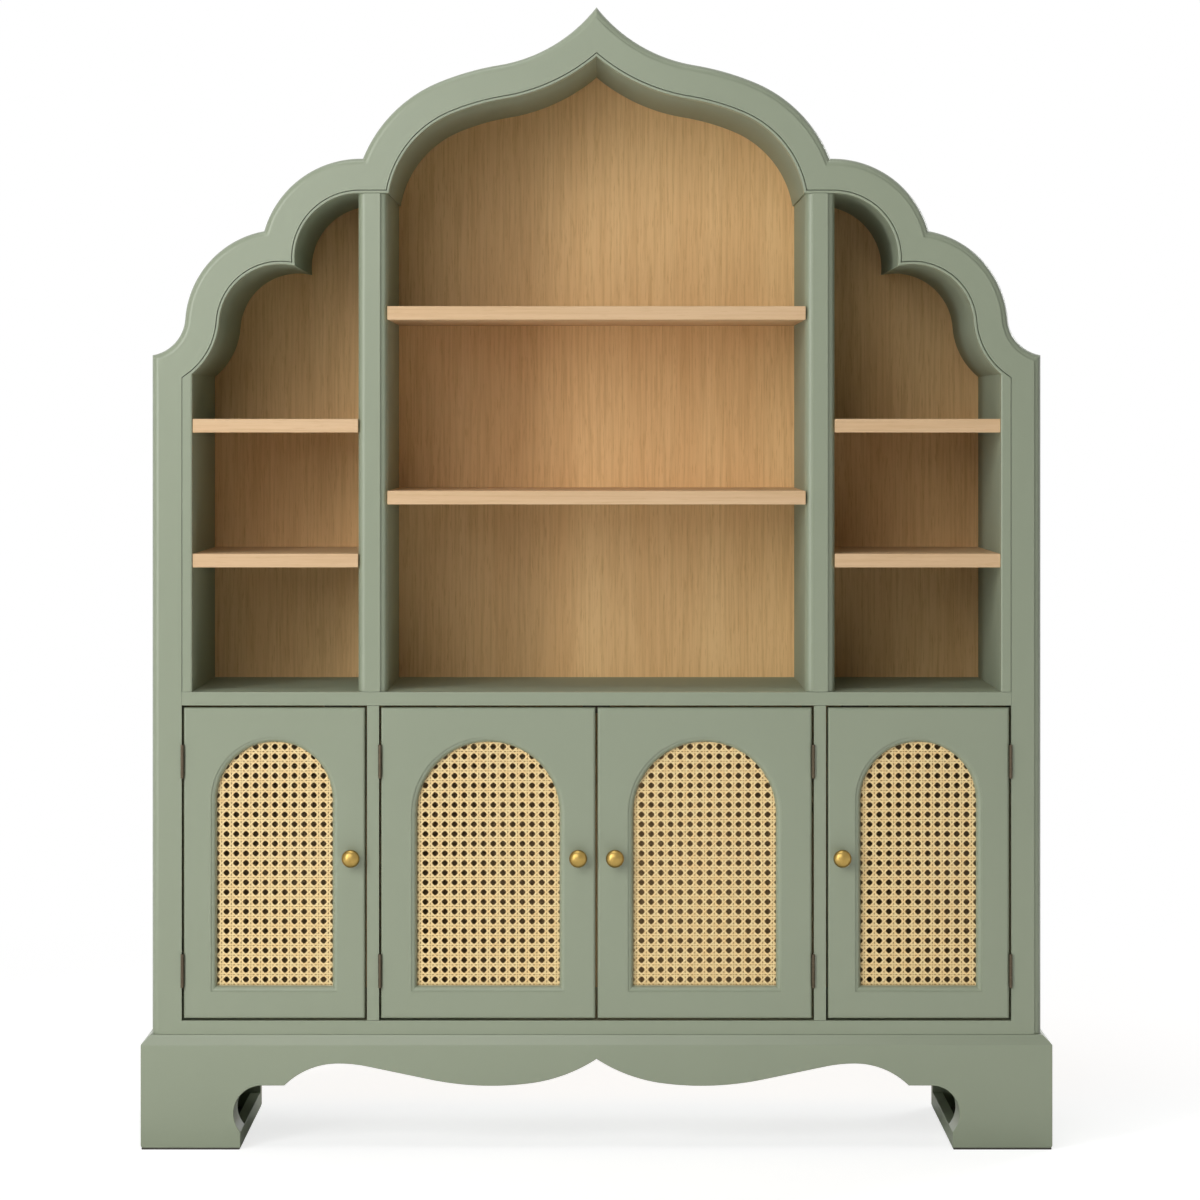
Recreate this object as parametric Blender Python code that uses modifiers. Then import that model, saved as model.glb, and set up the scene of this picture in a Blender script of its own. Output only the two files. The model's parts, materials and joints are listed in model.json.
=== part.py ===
"""Painted bookcase with an ogee-arched head, oak shelves and a base of four cane doors.

Metres, +X to the right, +Y to the back, +Z up. The origin is on the floor, under the middle of the
whole piece. The left and right halves are mirror images, so sizes are given for the right half.
"""
import math

import bmesh
import bpy
from mathutils import Matrix

# Body and boards
BODY_WIDTH = 1.483
BODY_DEPTH = 0.368
FACE_T = 0.022
BOARD_T = 0.023
SIDE_T = 0.018
BACK_T = 0.010
ROOF_T = 0.009
FIT = 0.0003
WELD = 0.000001
STILE_W = 0.050
EDGE_ROUND = 0.012

# Plinth and its apron
PLINTH_HEIGHT = 0.189
PLINTH_STEP = 0.0165
PLINTH_T = 0.025
FOOT_WIDTH = 0.166
FOOT_CORNER = 0.004
REAR_CLEARANCE = 0.095
RUNNER_HEIGHT = 0.037
RUNNER_T = 0.018
SCOOP_R = 0.0465
SCOOP_OVERHANG = 0.035
SCOOP_TOP = 0.1065
NOTCH_REACH = 0.038
CREST_R = 0.128
CREST_TOP = 0.143
CREST_INNER_R = 0.240
BOWL_R = 0.506
BOWL_X = 0.175
BOWL_LOW = 0.106
BOWL_TO_CREST_ANGLE = 12.0
CUSP_R = 0.264
CUSP_TURN_ANGLE = 262.6

# Base cabinet
DOOR_OPENING_HEIGHT = 0.525
DOOR_GAP = 0.003
MULLION_W = 0.020
DOOR_TOP_RAIL = 0.058
DOOR_BOTTOM_RAIL = 0.054
OUTER_DOOR_STILE = 0.055
INNER_DOOR_STILE = 0.060
DOOR_MOULDING = 0.009
REBATE_DEPTH = 0.010
REBATE_WIDTH = 0.008
CATCH_SIZE = 0.014
CATCH_LENGTH = 0.045
CATCH_INSET = 0.050

# Cane webbing: the mesh of the solid is twice as coarse as the real webbing
CANE_T = 0.003
CANE_PITCH = 0.0324
CANE_HOLE = 0.018
CANE_BORDER = 0.004

# Knobs, turned about their stud
KNOB_R = 0.015
KNOB_REACH = 0.030
KNOB_BALL_DEPTH = 0.019
KNOB_NECK_R = 0.0055
KNOB_ROSE_R = 0.010
KNOB_ROSE_T = 0.003
KNOB_STUD_R = 0.002
KNOB_STUD_LENGTH = 0.018
STUD_CLEARANCE = 0.0003
KNOB_HEIGHT = 0.269
OUTER_KNOB_INSET = 0.023
INNER_KNOB_INSET = 0.029

# Butt hinges
HINGE_LENGTH = 0.056
HINGE_KNUCKLE_R = 0.00275
HINGE_PIN_R = 0.0013
HINGE_LEAF_T = 0.001
HINGE_LEAF_WIDTH = 0.017
HINGE_MIDDLE_KNUCKLE = 0.019
HINGE_TIP = 0.001
HINGE_TOP_INSET = 0.062
HINGE_BOTTOM_INSET = 0.052

# Upper bays
SIDE_BAY_WIDTH = 0.2765
LINER_T = 0.0165
POST_W = 0.050
POST_BEAD = 0.008
POST_GROOVE = 0.002
SHELF_SETBACK = 0.003
HOUSING_DEPTH = 0.006
HOUSING_STOP = 0.020
CENTRE_SHELF_HEIGHTS = {"lower": 0.312, "upper": 0.620}
SIDE_SHELF_HEIGHTS = {"lower": 0.207, "upper": 0.432}

# Arched head: a cove at the shoulder, two lobes, then a crown that turns into an ogee
ARCH_BAND = 0.053
ARCH_GROOVE = 0.001
SOFFIT_T = 0.0045
SPRING_HEIGHT = 0.610
SHOULDER_W = 0.054
COVE_R = 0.0655
COVE_ANGLE = 4.0
LOBE_STEP_X = 0.132
LOBE_STEP_Z = 0.1125
UPPER_LOBE_R = 0.167
UPPER_LOBE_OFFSET = 0.022
CROWN_R = 0.231
CROWN_STEP_Z = 0.081
CROWN_OVERHANG = 0.0015
CROWN_TURN_ANGLE = 67.5
CROWN_FLAT_R = 0.459
OGEE_R = 0.260
APEX_SLOPE = 52.0

# Facets of the round stretches
COVE_STEPS = 6
LOBE_STEPS = 10
CROWN_STEPS = 8
FLAT_STEPS = 3
OGEE_STEPS = 6
APRON_STEPS = 8
DOOR_ARCH_STEPS = 18
KNOB_STEPS = 18
BALL_STEPS = 8
KNUCKLE_STEPS = 12
CORNER_STEPS = 2
SHARP_ANGLE = 40.0

# Places worked out from the sizes
HALF = BODY_WIDTH / 2
Y_FRONT = (KNOB_REACH - BODY_DEPTH) / 2
Y_BACK = Y_FRONT + BODY_DEPTH
Y_BEHIND_FACE = Y_FRONT + FACE_T + FIT
Y_INSIDE_BACK = Y_BACK - BACK_T - FIT
FLOOR_TOP = PLINTH_HEIGHT + BOARD_T
DECK_BOTTOM = FLOOR_TOP + DOOR_OPENING_HEIGHT
DECK_TOP = DECK_BOTTOM + BOARD_T
BACK_SPLIT = DECK_BOTTOM + BOARD_T / 2
STILE_IN = HALF - STILE_W
LINER_OUT = STILE_IN - ARCH_GROOVE
LINER_IN = LINER_OUT - LINER_T
POST_OUT = LINER_IN - SIDE_BAY_WIDTH
POST_IN = POST_OUT - POST_W
PARTITION_X = (POST_OUT + POST_IN) / 2
MULLION_OUT = PARTITION_X + MULLION_W / 2
MULLION_IN = PARTITION_X - MULLION_W / 2
PLINTH_HALF = HALF + PLINTH_STEP
PLINTH_FRONT = Y_FRONT - PLINTH_STEP
FOOT_IN = PLINTH_HALF - FOOT_WIDTH
DOOR_BOTTOM = FLOOR_TOP + DOOR_GAP
DOOR_TOP = DECK_BOTTOM - DOOR_GAP
REBATE_Y = Y_FRONT + FACE_T - REBATE_DEPTH
HINGE_AXIS_Y = Y_FRONT - HINGE_KNUCKLE_R - FIT

# Colours of the finishes, as linear RGB, with roughness and metallic value
FINISHES = {
    "sage_paint": ((0.337, 0.381, 0.292), 0.5, 0.0),
    "oak_veneer": ((0.515, 0.305, 0.150), 0.55, 0.0),
    "cane": ((0.790, 0.600, 0.330), 0.6, 0.0),
    "aged_brass": ((0.480, 0.290, 0.100), 0.35, 1.0),
    "bronze": ((0.200, 0.140, 0.090), 0.4, 1.0),
    "birch_ply": ((0.560, 0.420, 0.270), 0.65, 0.0),
    "brown_plastic": ((0.110, 0.070, 0.045), 0.5, 0.0),
}


def clear_scene():
    """Remove every object of the open scene."""
    for obj in list(bpy.data.objects):
        bpy.data.objects.remove(obj, do_unlink=True)


def add_collection(name):
    """Make a collection in the scene."""
    collection = bpy.data.collections.new(name)
    bpy.context.scene.collection.children.link(collection)
    return collection


clear_scene()
PARTS = add_collection("shelving_unit")
CUTTERS = add_collection("cutters")


# Points and outlines

def arc(centre, radius, start, end, steps):
    """Points on a circle from one angle to another, in degrees, both ends included."""
    points = []
    for i in range(steps + 1):
        angle = math.radians(start + (end - start) * i / steps)
        points.append((centre[0] + radius * math.cos(angle), centre[1] + radius * math.sin(angle)))
    return points


def angle_of(centre, point):
    """Angle of a point seen from a centre, in degrees from -90 to 270."""
    angle = math.degrees(math.atan2(point[1] - centre[1], point[0] - centre[0]))
    return angle if angle >= -90.0 else angle + 360.0


def step_from(centre, distance, angle):
    """Point at a distance and an angle from a centre."""
    turn = math.radians(angle)
    return (centre[0] + distance * math.cos(turn), centre[1] + distance * math.sin(turn))


def circles_meet(centre_a, radius_a, centre_b, radius_b):
    """Upper one of the two points where two circles cross."""
    dx = centre_b[0] - centre_a[0]
    dz = centre_b[1] - centre_a[1]
    gap = math.hypot(dx, dz)
    along = (gap ** 2 + radius_a ** 2 - radius_b ** 2) / (2 * gap)
    aside = math.sqrt(radius_a ** 2 - along ** 2)
    foot = (centre_a[0] + dx * along / gap, centre_a[1] + dz * along / gap)
    crossings = [
        (foot[0] - dz * aside / gap, foot[1] + dx * aside / gap),
        (foot[0] + dz * aside / gap, foot[1] - dx * aside / gap),
    ]
    return max(crossings, key=lambda point: point[1])


def mirrored(points):
    """The same points on the other side of the middle, in reverse order."""
    return [(-u, v) for u, v in reversed(points)]


def across(half):
    """A half outline that ends on the middle line, carried on to the left."""
    return half + mirrored(half)[1:]


# Centres of the head's arcs
LOWER_LOBE_R = (HALF - SHOULDER_W) - (PARTITION_X + UPPER_LOBE_OFFSET + LOBE_STEP_X)
UPPER_LOBE = (PARTITION_X + UPPER_LOBE_OFFSET, DECK_TOP + SPRING_HEIGHT + LOBE_STEP_Z)
LOWER_LOBE = (UPPER_LOBE[0] + LOBE_STEP_X, DECK_TOP + SPRING_HEIGHT)
COVE = step_from(LOWER_LOBE, LOWER_LOBE_R + COVE_R, COVE_ANGLE)
SOFFIT_OUT = ARCH_BAND + ARCH_GROOVE
SOFFIT_IN = SOFFIT_OUT + SOFFIT_T
LEVEL_UNDER_ARCH = UPPER_LOBE[1] + UPPER_LOBE_R - SOFFIT_IN
CROWN_Z = UPPER_LOBE[1] + CROWN_STEP_Z
CROWN_SPRING = math.sqrt((CROWN_R - SOFFIT_IN) ** 2 - (LEVEL_UNDER_ARCH - CROWN_Z) ** 2)
CROWN = (POST_IN - CROWN_OVERHANG - CROWN_SPRING, CROWN_Z)
CROWN_FLAT = step_from(CROWN, CROWN_R - CROWN_FLAT_R, CROWN_TURN_ANGLE)
OGEE_X = OGEE_R * math.sin(math.radians(APEX_SLOPE))
OGEE_TURN_ANGLE = math.degrees(math.acos((OGEE_X - CROWN_FLAT[0]) / (CROWN_FLAT_R + OGEE_R)))
OGEE = step_from(CROWN_FLAT, CROWN_FLAT_R + OGEE_R, OGEE_TURN_ANGLE)


def cove_height(inset, x):
    """Height of the shoulder's cove, moved in by inset, at a place x."""
    return COVE[1] - math.sqrt((COVE_R + inset) ** 2 - (x - COVE[0]) ** 2)


def side_line(inset, edge_x):
    """Right side of the head, moved in by inset: cove, two lobes and the level run to the crown."""
    lower_r = LOWER_LOBE_R - inset
    upper_r = UPPER_LOBE_R - inset
    start = (edge_x, cove_height(inset, edge_x))
    valley = circles_meet(LOWER_LOBE, lower_r, UPPER_LOBE, upper_r)
    level = UPPER_LOBE[1] + upper_r
    crown_x = CROWN[0] + math.sqrt((CROWN_R - inset) ** 2 - (level - CROWN[1]) ** 2)
    cove_end = 180.0 + COVE_ANGLE
    points = arc(COVE, COVE_R + inset, angle_of(COVE, start), cove_end, COVE_STEPS)
    points += arc(LOWER_LOBE, lower_r, COVE_ANGLE, angle_of(LOWER_LOBE, valley), LOBE_STEPS)[1:]
    points += arc(UPPER_LOBE, upper_r, angle_of(UPPER_LOBE, valley), 90.0, LOBE_STEPS)[1:]
    return points + [(crown_x, level)]


def crown_line(inset):
    """Right half of the crown, moved in by inset, from the level run up to the apex."""
    level = UPPER_LOBE[1] + UPPER_LOBE_R - inset
    crown_r = CROWN_R - inset
    spring = math.degrees(math.asin((level - CROWN[1]) / crown_r))
    apex_angle = 180.0 + math.degrees(math.acos(OGEE[0] / (OGEE_R + inset)))
    points = arc(CROWN, crown_r, spring, CROWN_TURN_ANGLE, CROWN_STEPS)
    flat_r = CROWN_FLAT_R - inset
    points += arc(CROWN_FLAT, flat_r, CROWN_TURN_ANGLE, OGEE_TURN_ANGLE, FLAT_STEPS)[1:]
    points += arc(OGEE, OGEE_R + inset, 180.0 + OGEE_TURN_ANGLE, apex_angle, OGEE_STEPS)[1:]
    return points


def head_line(inset, edge_x):
    """The head's outline from the right shoulder over the apex to the left one."""
    return across(side_line(inset, edge_x) + crown_line(inset)[1:])


def apron_line():
    """Right half of the plinth's lower edge, from the cusp in the middle to the foot."""
    cusp_centre = step_from((BOWL_X, BOWL_LOW + BOWL_R), BOWL_R - CUSP_R, CUSP_TURN_ANGLE)
    cusp_start = 270.0 - math.degrees(math.asin(cusp_centre[0] / CUSP_R))
    bowl = (BOWL_X, BOWL_LOW + BOWL_R)
    scoop = (FOOT_IN - SCOOP_OVERHANG, SCOOP_TOP - SCOOP_R)
    notch_x = scoop[0] - NOTCH_REACH
    crest_centre_z = CREST_TOP - CREST_R
    crest_x = notch_x - math.sqrt(CREST_R ** 2 - (SCOOP_TOP - crest_centre_z) ** 2)
    crest = (crest_x, crest_centre_z)
    crest_inner = (crest_x, CREST_TOP - CREST_INNER_R)
    scoop_end = -math.degrees(math.acos(SCOOP_OVERHANG / SCOOP_R))
    points = arc(cusp_centre, CUSP_R, cusp_start, CUSP_TURN_ANGLE, APRON_STEPS)
    points += arc(bowl, BOWL_R, CUSP_TURN_ANGLE, 270.0 + BOWL_TO_CREST_ANGLE, APRON_STEPS)[1:]
    points += arc(crest_inner, CREST_INNER_R, 90.0 + BOWL_TO_CREST_ANGLE, 90.0, APRON_STEPS // 2)
    points += arc(crest, CREST_R, 90.0, angle_of(crest, (notch_x, SCOOP_TOP)), APRON_STEPS)[1:]
    points += arc(scoop, SCOOP_R, 90.0, scoop_end, APRON_STEPS)
    return points


def door_arch(half_width, bottom, top):
    """Outline of a door's opening about its middle: square below, half round above."""
    round_top = arc((0.0, top - half_width), half_width, 0.0, 180.0, DOOR_ARCH_STEPS)
    return [(-half_width, bottom), (half_width, bottom)] + round_top


def moved(points, dx):
    """The points shifted sideways."""
    return [(x + dx, z) for x, z in points]


# Objects from outlines, boxes, lofts and turned profiles

UPRIGHT = (math.radians(90.0), 0.0, 0.0)
SIDEWAYS = (math.radians(90.0), 0.0, math.radians(90.0))
FLAT = (0.0, 0.0, 0.0)


def finish(obj, finish_name):
    """Give an object its own material of a named finish."""
    colour, roughness, metallic = FINISHES[finish_name]
    material = bpy.data.materials.new(f"{obj.name}_{finish_name}")
    material.use_nodes = True
    shader = material.node_tree.nodes["Principled BSDF"]
    shader.inputs["Base Color"].default_value = (*colour, 1.0)
    shader.inputs["Roughness"].default_value = roughness
    shader.inputs["Metallic"].default_value = metallic
    obj.data.materials.clear()
    obj.data.materials.append(material)
    return obj


def outline(name, loops, turn, near, thickness):
    """Flat outline as a filled 2D curve, from near along its thickness axis."""
    curve = bpy.data.curves.new(name, "CURVE")
    curve.dimensions = "2D"
    curve.fill_mode = "BOTH"
    curve.extrude = thickness / 2
    for points in loops:
        spline = curve.splines.new("POLY")
        spline.points.add(len(points) - 1)
        spline.use_cyclic_u = True
        for point, (u, v) in zip(spline.points, points):
            point.co = (u, v, 0.0, 1.0)
    obj = bpy.data.objects.new(name, curve)
    middle = near + thickness / 2
    places = {UPRIGHT: (0.0, middle, 0.0), SIDEWAYS: (middle, 0.0, 0.0), FLAT: (0.0, 0.0, middle)}
    obj.location = places[turn]
    obj.rotation_euler = turn
    PARTS.objects.link(obj)
    return obj


def face_outwards(work):
    """Turn all faces of a closed bmesh outwards."""
    bmesh.ops.recalc_face_normals(work, faces=work.faces)
    if work.calc_volume(signed=True) < 0.0:
        bmesh.ops.reverse_faces(work, faces=work.faces)


def as_mesh(obj):
    """Replace an object by a welded mesh of its evaluated shape."""
    bpy.context.view_layer.update()
    evaluated = obj.evaluated_get(bpy.context.evaluated_depsgraph_get())
    mesh = bpy.data.meshes.new_from_object(evaluated)
    matrix = obj.matrix_world.copy()
    name = obj.name
    bpy.data.objects.remove(obj, do_unlink=True)
    work = bmesh.new()
    work.from_mesh(mesh)
    bmesh.ops.remove_doubles(work, verts=work.verts, dist=WELD)
    face_outwards(work)
    work.to_mesh(mesh)
    work.free()
    solid = bpy.data.objects.new(name, mesh)
    solid.matrix_world = matrix
    PARTS.objects.link(solid)
    return solid


def mesh_object(name, work):
    """Object with its mesh from a bmesh, which is freed."""
    face_outwards(work)
    mesh = bpy.data.meshes.new(name)
    work.to_mesh(mesh)
    work.free()
    obj = bpy.data.objects.new(name, mesh)
    PARTS.objects.link(obj)
    return obj


def box(name, x, y, z):
    """Box between pairs of limits along X, Y and Z."""
    work = bmesh.new()
    bmesh.ops.create_cube(work, size=1.0)
    size = [high - low for low, high in (x, y, z)]
    centre = [(low + high) / 2 for low, high in (x, y, z)]
    bmesh.ops.scale(work, vec=size, verts=work.verts)
    bmesh.ops.translate(work, vec=centre, verts=work.verts)
    return mesh_object(name, work)


def loft(name, rings):
    """Solid through rings of equal count, each a list of (x, z) points at a depth y, with flat ends."""
    work = bmesh.new()
    loops = [[work.verts.new((x, y, z)) for x, z in points] for points, y in rings]
    work.faces.new(loops[0])
    for near, far in zip(loops, loops[1:]):
        for i in range(len(near)):
            work.faces.new((near[i - 1], near[i], far[i], far[i - 1]))
    work.faces.new(list(reversed(loops[-1])))
    return mesh_object(name, work)


def round_edges(obj, test, width):
    """Round the edges of a mesh whose two ends both pass a test on their coordinates."""
    work = bmesh.new()
    work.from_mesh(obj.data)
    edges = [edge for edge in work.edges if all(test(vert.co) for vert in edge.verts)]
    bmesh.ops.bevel(work, geom=edges, offset=width, segments=CORNER_STEPS, profile=0.5, affect="EDGES")
    work.to_mesh(obj.data)
    work.free()
    return obj


def cut_away(obj, point, normal):
    """Cut off what lies beyond a plane and close the cut."""
    work = bmesh.new()
    work.from_mesh(obj.data)
    geometry = work.verts[:] + work.edges[:] + work.faces[:]
    plane = {"plane_co": point, "plane_no": normal}
    cut = bmesh.ops.bisect_plane(work, geom=geometry, dist=WELD, clear_outer=True, **plane)
    edges = [item for item in cut["geom_cut"] if isinstance(item, bmesh.types.BMEdge)]
    bmesh.ops.edgeloop_fill(work, edges=edges)
    face_outwards(work)
    work.to_mesh(obj.data)
    work.free()
    return obj


def turned(name, profile, steps):
    """Solid turned about Z from a profile of (radius, height), top to bottom."""
    mesh = bpy.data.meshes.new(name)
    edges = [(i, i + 1) for i in range(len(profile) - 1)]
    mesh.from_pydata([(r, 0.0, z) for r, z in profile], edges, [])
    obj = bpy.data.objects.new(name, mesh)
    PARTS.objects.link(obj)
    screw = obj.modifiers.new("turn", "SCREW")
    screw.steps = steps
    screw.render_steps = steps
    screw.use_merge_vertices = True
    screw.merge_threshold = WELD
    screw.use_smooth_shade = True
    return obj


def as_cutter(obj):
    """Move an object to the cutters, hidden and drawn as wire."""
    PARTS.objects.unlink(obj)
    CUTTERS.objects.link(obj)
    obj.hide_render = True
    obj.display_type = "WIRE"
    return obj


def boolean(obj, other, operation="DIFFERENCE"):
    """Cut an object by another, or join the other to it."""
    modifier = obj.modifiers.new(f"{operation.lower()}_{other.name}", "BOOLEAN")
    modifier.operation = operation
    modifier.object = other
    return obj


# Plinth

def build_plinth():
    """Front board with its apron, side boards, rear board and the foot runners."""
    chamfer_foot = PLINTH_HEIGHT - PLINTH_STEP
    shoulder = [(PLINTH_HALF, chamfer_foot), (HALF, PLINTH_HEIGHT)]
    foot = apron_line() + [(FOOT_IN, 0.0)]
    foot += arc((PLINTH_HALF - FOOT_CORNER, FOOT_CORNER), FOOT_CORNER, 270.0, 360.0, CORNER_STEPS)
    face = across(list(reversed(foot + shoulder)))
    front = loft("plinth_front", [(face, PLINTH_FRONT), (face, PLINTH_FRONT + PLINTH_T)])
    cut_away(front, (0.0, PLINTH_FRONT, chamfer_foot), (0.0, -1.0, 1.0))
    finish(front, "sage_paint")

    y_side = (PLINTH_FRONT + PLINTH_T + FIT, Y_BACK)
    inner = PLINTH_HALF - PLINTH_T
    side = [(inner, 0.0), (PLINTH_HALF, 0.0)] + shoulder + [(inner, PLINTH_HEIGHT)]
    for label, points in (("left", mirrored(side)), ("right", side)):
        board = outline(f"plinth_{label}", [points], UPRIGHT, y_side[0], y_side[1] - y_side[0])
        finish(board, "sage_paint")

    end = inner - FIT
    half = [(end, PLINTH_HEIGHT), (end, 0.0), (FOOT_IN, 0.0), (FOOT_IN, REAR_CLEARANCE)]
    rear = half + mirrored(half)
    finish(outline("plinth_back", [rear], UPRIGHT, Y_BACK - PLINTH_T, PLINTH_T), "sage_paint")

    y_runner = (y_side[0], Y_BACK - PLINTH_T - FIT)
    for label, sign in (("left", -1.0), ("right", 1.0)):
        x = sorted((sign * FOOT_IN, sign * (FOOT_IN + RUNNER_T)))
        finish(box(f"foot_runner_{label}", x, y_runner, (0.0, RUNNER_HEIGHT)), "sage_paint")


# Carcass

def board_between_stiles(name, bottom):
    """Level board over the full depth, notched at the front corners to pass between the stiles."""
    wide = HALF - SIDE_T - FIT
    narrow = STILE_IN - FIT
    half = [(wide, Y_INSIDE_BACK), (wide, Y_BEHIND_FACE), (narrow, Y_BEHIND_FACE), (narrow, Y_FRONT)]
    plan = half + mirrored(half)
    return finish(outline(name, [plan], FLAT, bottom, BOARD_T - FIT), "sage_paint")


def build_carcass():
    """Floor, deck, side panels, stiles, lower partitions and the two back panels."""
    board_between_stiles("cabinet_floor", PLINTH_HEIGHT + FIT)
    board_between_stiles("deck", DECK_BOTTOM)

    base = PLINTH_HEIGHT + FIT
    side_top = cove_height(ROOF_T, HALF) - FIT
    stile_top = cove_height(ARCH_BAND, STILE_IN) - FIT
    y_partition = (Y_FRONT, Y_INSIDE_BACK)
    for label, sign in (("left", -1.0), ("right", 1.0)):
        side_x = sorted((sign * (HALF - SIDE_T), sign * HALF))
        finish(box(f"side_panel_{label}", side_x, (Y_BEHIND_FACE, Y_BACK), (base, side_top)), "sage_paint")
        stile_x = sorted((sign * STILE_IN, sign * HALF))
        stile = box(f"stile_{label}", stile_x, (Y_FRONT, Y_FRONT + FACE_T), (base, stile_top))
        outer = sign * HALF
        round_edges(stile, lambda co: co.y < Y_FRONT + FIT and abs(co.x - outer) < FIT, EDGE_ROUND)
        finish(stile, "sage_paint")
        partition_x = sorted((sign * MULLION_IN, sign * MULLION_OUT))
        partition_z = (FLOOR_TOP + FIT, DECK_BOTTOM - FIT)
        finish(box(f"lower_partition_{label}", partition_x, y_partition, partition_z), "sage_paint")

    y_back = (Y_BACK - BACK_T, Y_BACK)
    edge = HALF - SIDE_T - FIT
    lower_z = (base, BACK_SPLIT - FIT / 2)
    finish(box("back_panel_lower", (-edge, edge), y_back, lower_z), "birch_ply")
    head = head_line(ROOF_T + 2 * FIT, edge)
    upper = [(-edge, BACK_SPLIT + FIT / 2), (edge, BACK_SPLIT + FIT / 2)] + head
    finish(outline("back_panel_upper", [upper], UPRIGHT, y_back[0], BACK_T), "oak_veneer")


# Arched head

def arch_ring(edge_inset):
    """Outline of the arch board with its outer edge moved in by edge_inset."""
    outer = head_line(edge_inset, HALF - edge_inset)
    inner = head_line(ARCH_BAND, STILE_IN)
    foot = inner[0][1]
    return [(HALF - edge_inset, foot)] + outer + [(edge_inset - HALF, foot)] + list(reversed(inner))


def build_head():
    """Arch board, roof skin, the two linings and the centre soffit."""
    rings = []
    for aside, behind in arc((EDGE_ROUND, EDGE_ROUND), EDGE_ROUND, 270.0, 180.0, CORNER_STEPS):
        rings.append((arch_ring(aside), Y_FRONT + behind))
    rings.append((arch_ring(0.0), Y_FRONT + FACE_T))
    finish(loft("arch_front", rings), "sage_paint")

    roof = head_line(0.0, HALF) + list(reversed(head_line(ROOF_T, HALF)))
    finish(loft("roof", [(roof, Y_BEHIND_FACE), (roof, Y_BACK)]), "sage_paint")

    outer = side_line(SOFFIT_OUT, LINER_OUT)
    inner = side_line(SOFFIT_IN, LINER_IN)
    outer[-1] = (outer[-1][0] + FIT, outer[-1][1])
    inner[-1] = (inner[-1][0] + FIT, inner[-1][1])
    foot = DECK_TOP + FIT
    lining = [(LINER_OUT, foot)] + outer + list(reversed(inner)) + [(LINER_IN, foot)]
    for label, points in (("left", mirrored(lining)), ("right", lining)):
        solid = loft(f"lining_{label}", [(points, Y_FRONT), (points, Y_INSIDE_BACK)])
        finish(solid, "sage_paint")

    crown = across(crown_line(SOFFIT_OUT)) + list(reversed(across(crown_line(SOFFIT_IN))))
    finish(loft("soffit_centre", [(crown, Y_FRONT), (crown, Y_INSIDE_BACK)]), "sage_paint")


# Upper bays

def build_partitions():
    """The two upper partitions, with a bead along each edge of their front posts."""
    past_lobe = max(0.0, POST_OUT - UPPER_LOBE[0])
    top = UPPER_LOBE[1] + math.sqrt((UPPER_LOBE_R - SOFFIT_IN) ** 2 - past_lobe ** 2) - FIT
    bottom = DECK_TOP + FIT
    groove = Y_FRONT + POST_GROOVE
    half = POST_W / 2
    quirk = half - POST_BEAD
    front = [(half, Y_FRONT), (quirk, Y_FRONT), (quirk, groove), (quirk - POST_GROOVE, groove)]
    front.append((quirk - POST_GROOVE, Y_FRONT))
    right_edge = [(half, Y_INSIDE_BACK)] + front
    plan = right_edge + mirrored(right_edge)
    for label, sign in (("left", -1.0), ("right", 1.0)):
        points = moved(plan, sign * PARTITION_X)
        solid = as_mesh(outline(f"upper_partition_{label}", [points], FLAT, bottom, top - bottom))
        finish(solid, "sage_paint")


def build_shelf(name, left, right, height, carriers):
    """Shelf between two faces, housed in both carriers behind the front edge."""
    tongue = HOUSING_DEPTH - FIT
    stop = Y_FRONT + HOUSING_STOP
    front = Y_FRONT + SHELF_SETBACK
    bottom = DECK_TOP + height
    low, high = left + FIT, right - FIT
    wide_low, wide_high = left - tongue, right + tongue
    plan = [(low, front), (high, front), (high, stop), (wide_high, stop)]
    plan += [(wide_high, Y_INSIDE_BACK), (wide_low, Y_INSIDE_BACK), (wide_low, stop), (low, stop)]
    finish(outline(name, [plan], FLAT, bottom, BOARD_T), "oak_veneer")
    x = (left - HOUSING_DEPTH, right + HOUSING_DEPTH)
    housing = box(f"{name}_housing", x, (stop - FIT, Y_BACK), (bottom - FIT, bottom + BOARD_T + FIT))
    as_cutter(housing)
    for carrier in carriers:
        boolean(bpy.data.objects[carrier], housing)


def build_shelves():
    """Two shelves in each of the three bays."""
    for level, height in CENTRE_SHELF_HEIGHTS.items():
        carriers = ("upper_partition_left", "upper_partition_right")
        build_shelf(f"shelf_centre_{level}", -POST_IN, POST_IN, height, carriers)
    for level, height in SIDE_SHELF_HEIGHTS.items():
        carriers = ("lining_left", "upper_partition_left")
        build_shelf(f"shelf_left_{level}", -LINER_IN, -POST_OUT, height, carriers)
        carriers = ("lining_right", "upper_partition_right")
        build_shelf(f"shelf_right_{level}", POST_OUT, LINER_IN, height, carriers)


# Doors

def opening_of(left, right, stile):
    """Middle, half width, bottom and top of the opening in a door."""
    half_width = (right - left) / 2 - stile
    return (left + right) / 2, half_width, DOOR_BOTTOM + DOOR_BOTTOM_RAIL, DOOR_TOP - DOOR_TOP_RAIL


def cane_holes(half_width, bottom, top):
    """Square holes of the webbing, set on its pitch, that lie wholly inside the opening."""
    spring = top - half_width
    side = CANE_HOLE / 2
    reach = side + CANE_BORDER
    columns = int(2 * (half_width - reach) / CANE_PITCH) + 1
    rows = int((top - bottom - 2 * reach) / CANE_PITCH) + 1
    first_x = -(columns - 1) * CANE_PITCH / 2
    first_z = (bottom + top - (rows - 1) * CANE_PITCH) / 2
    holes = []
    for row in range(rows):
        z = first_z + row * CANE_PITCH
        for column in range(columns):
            x = first_x + column * CANE_PITCH
            corner = math.hypot(abs(x) + reach, max(0.0, z + reach - spring))
            if corner < half_width or z + reach < spring:
                left, right, low, high = x - side, x + side, z - side, z + side
                holes.append([(left, low), (right, low), (right, high), (left, high)])
    return holes


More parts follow.
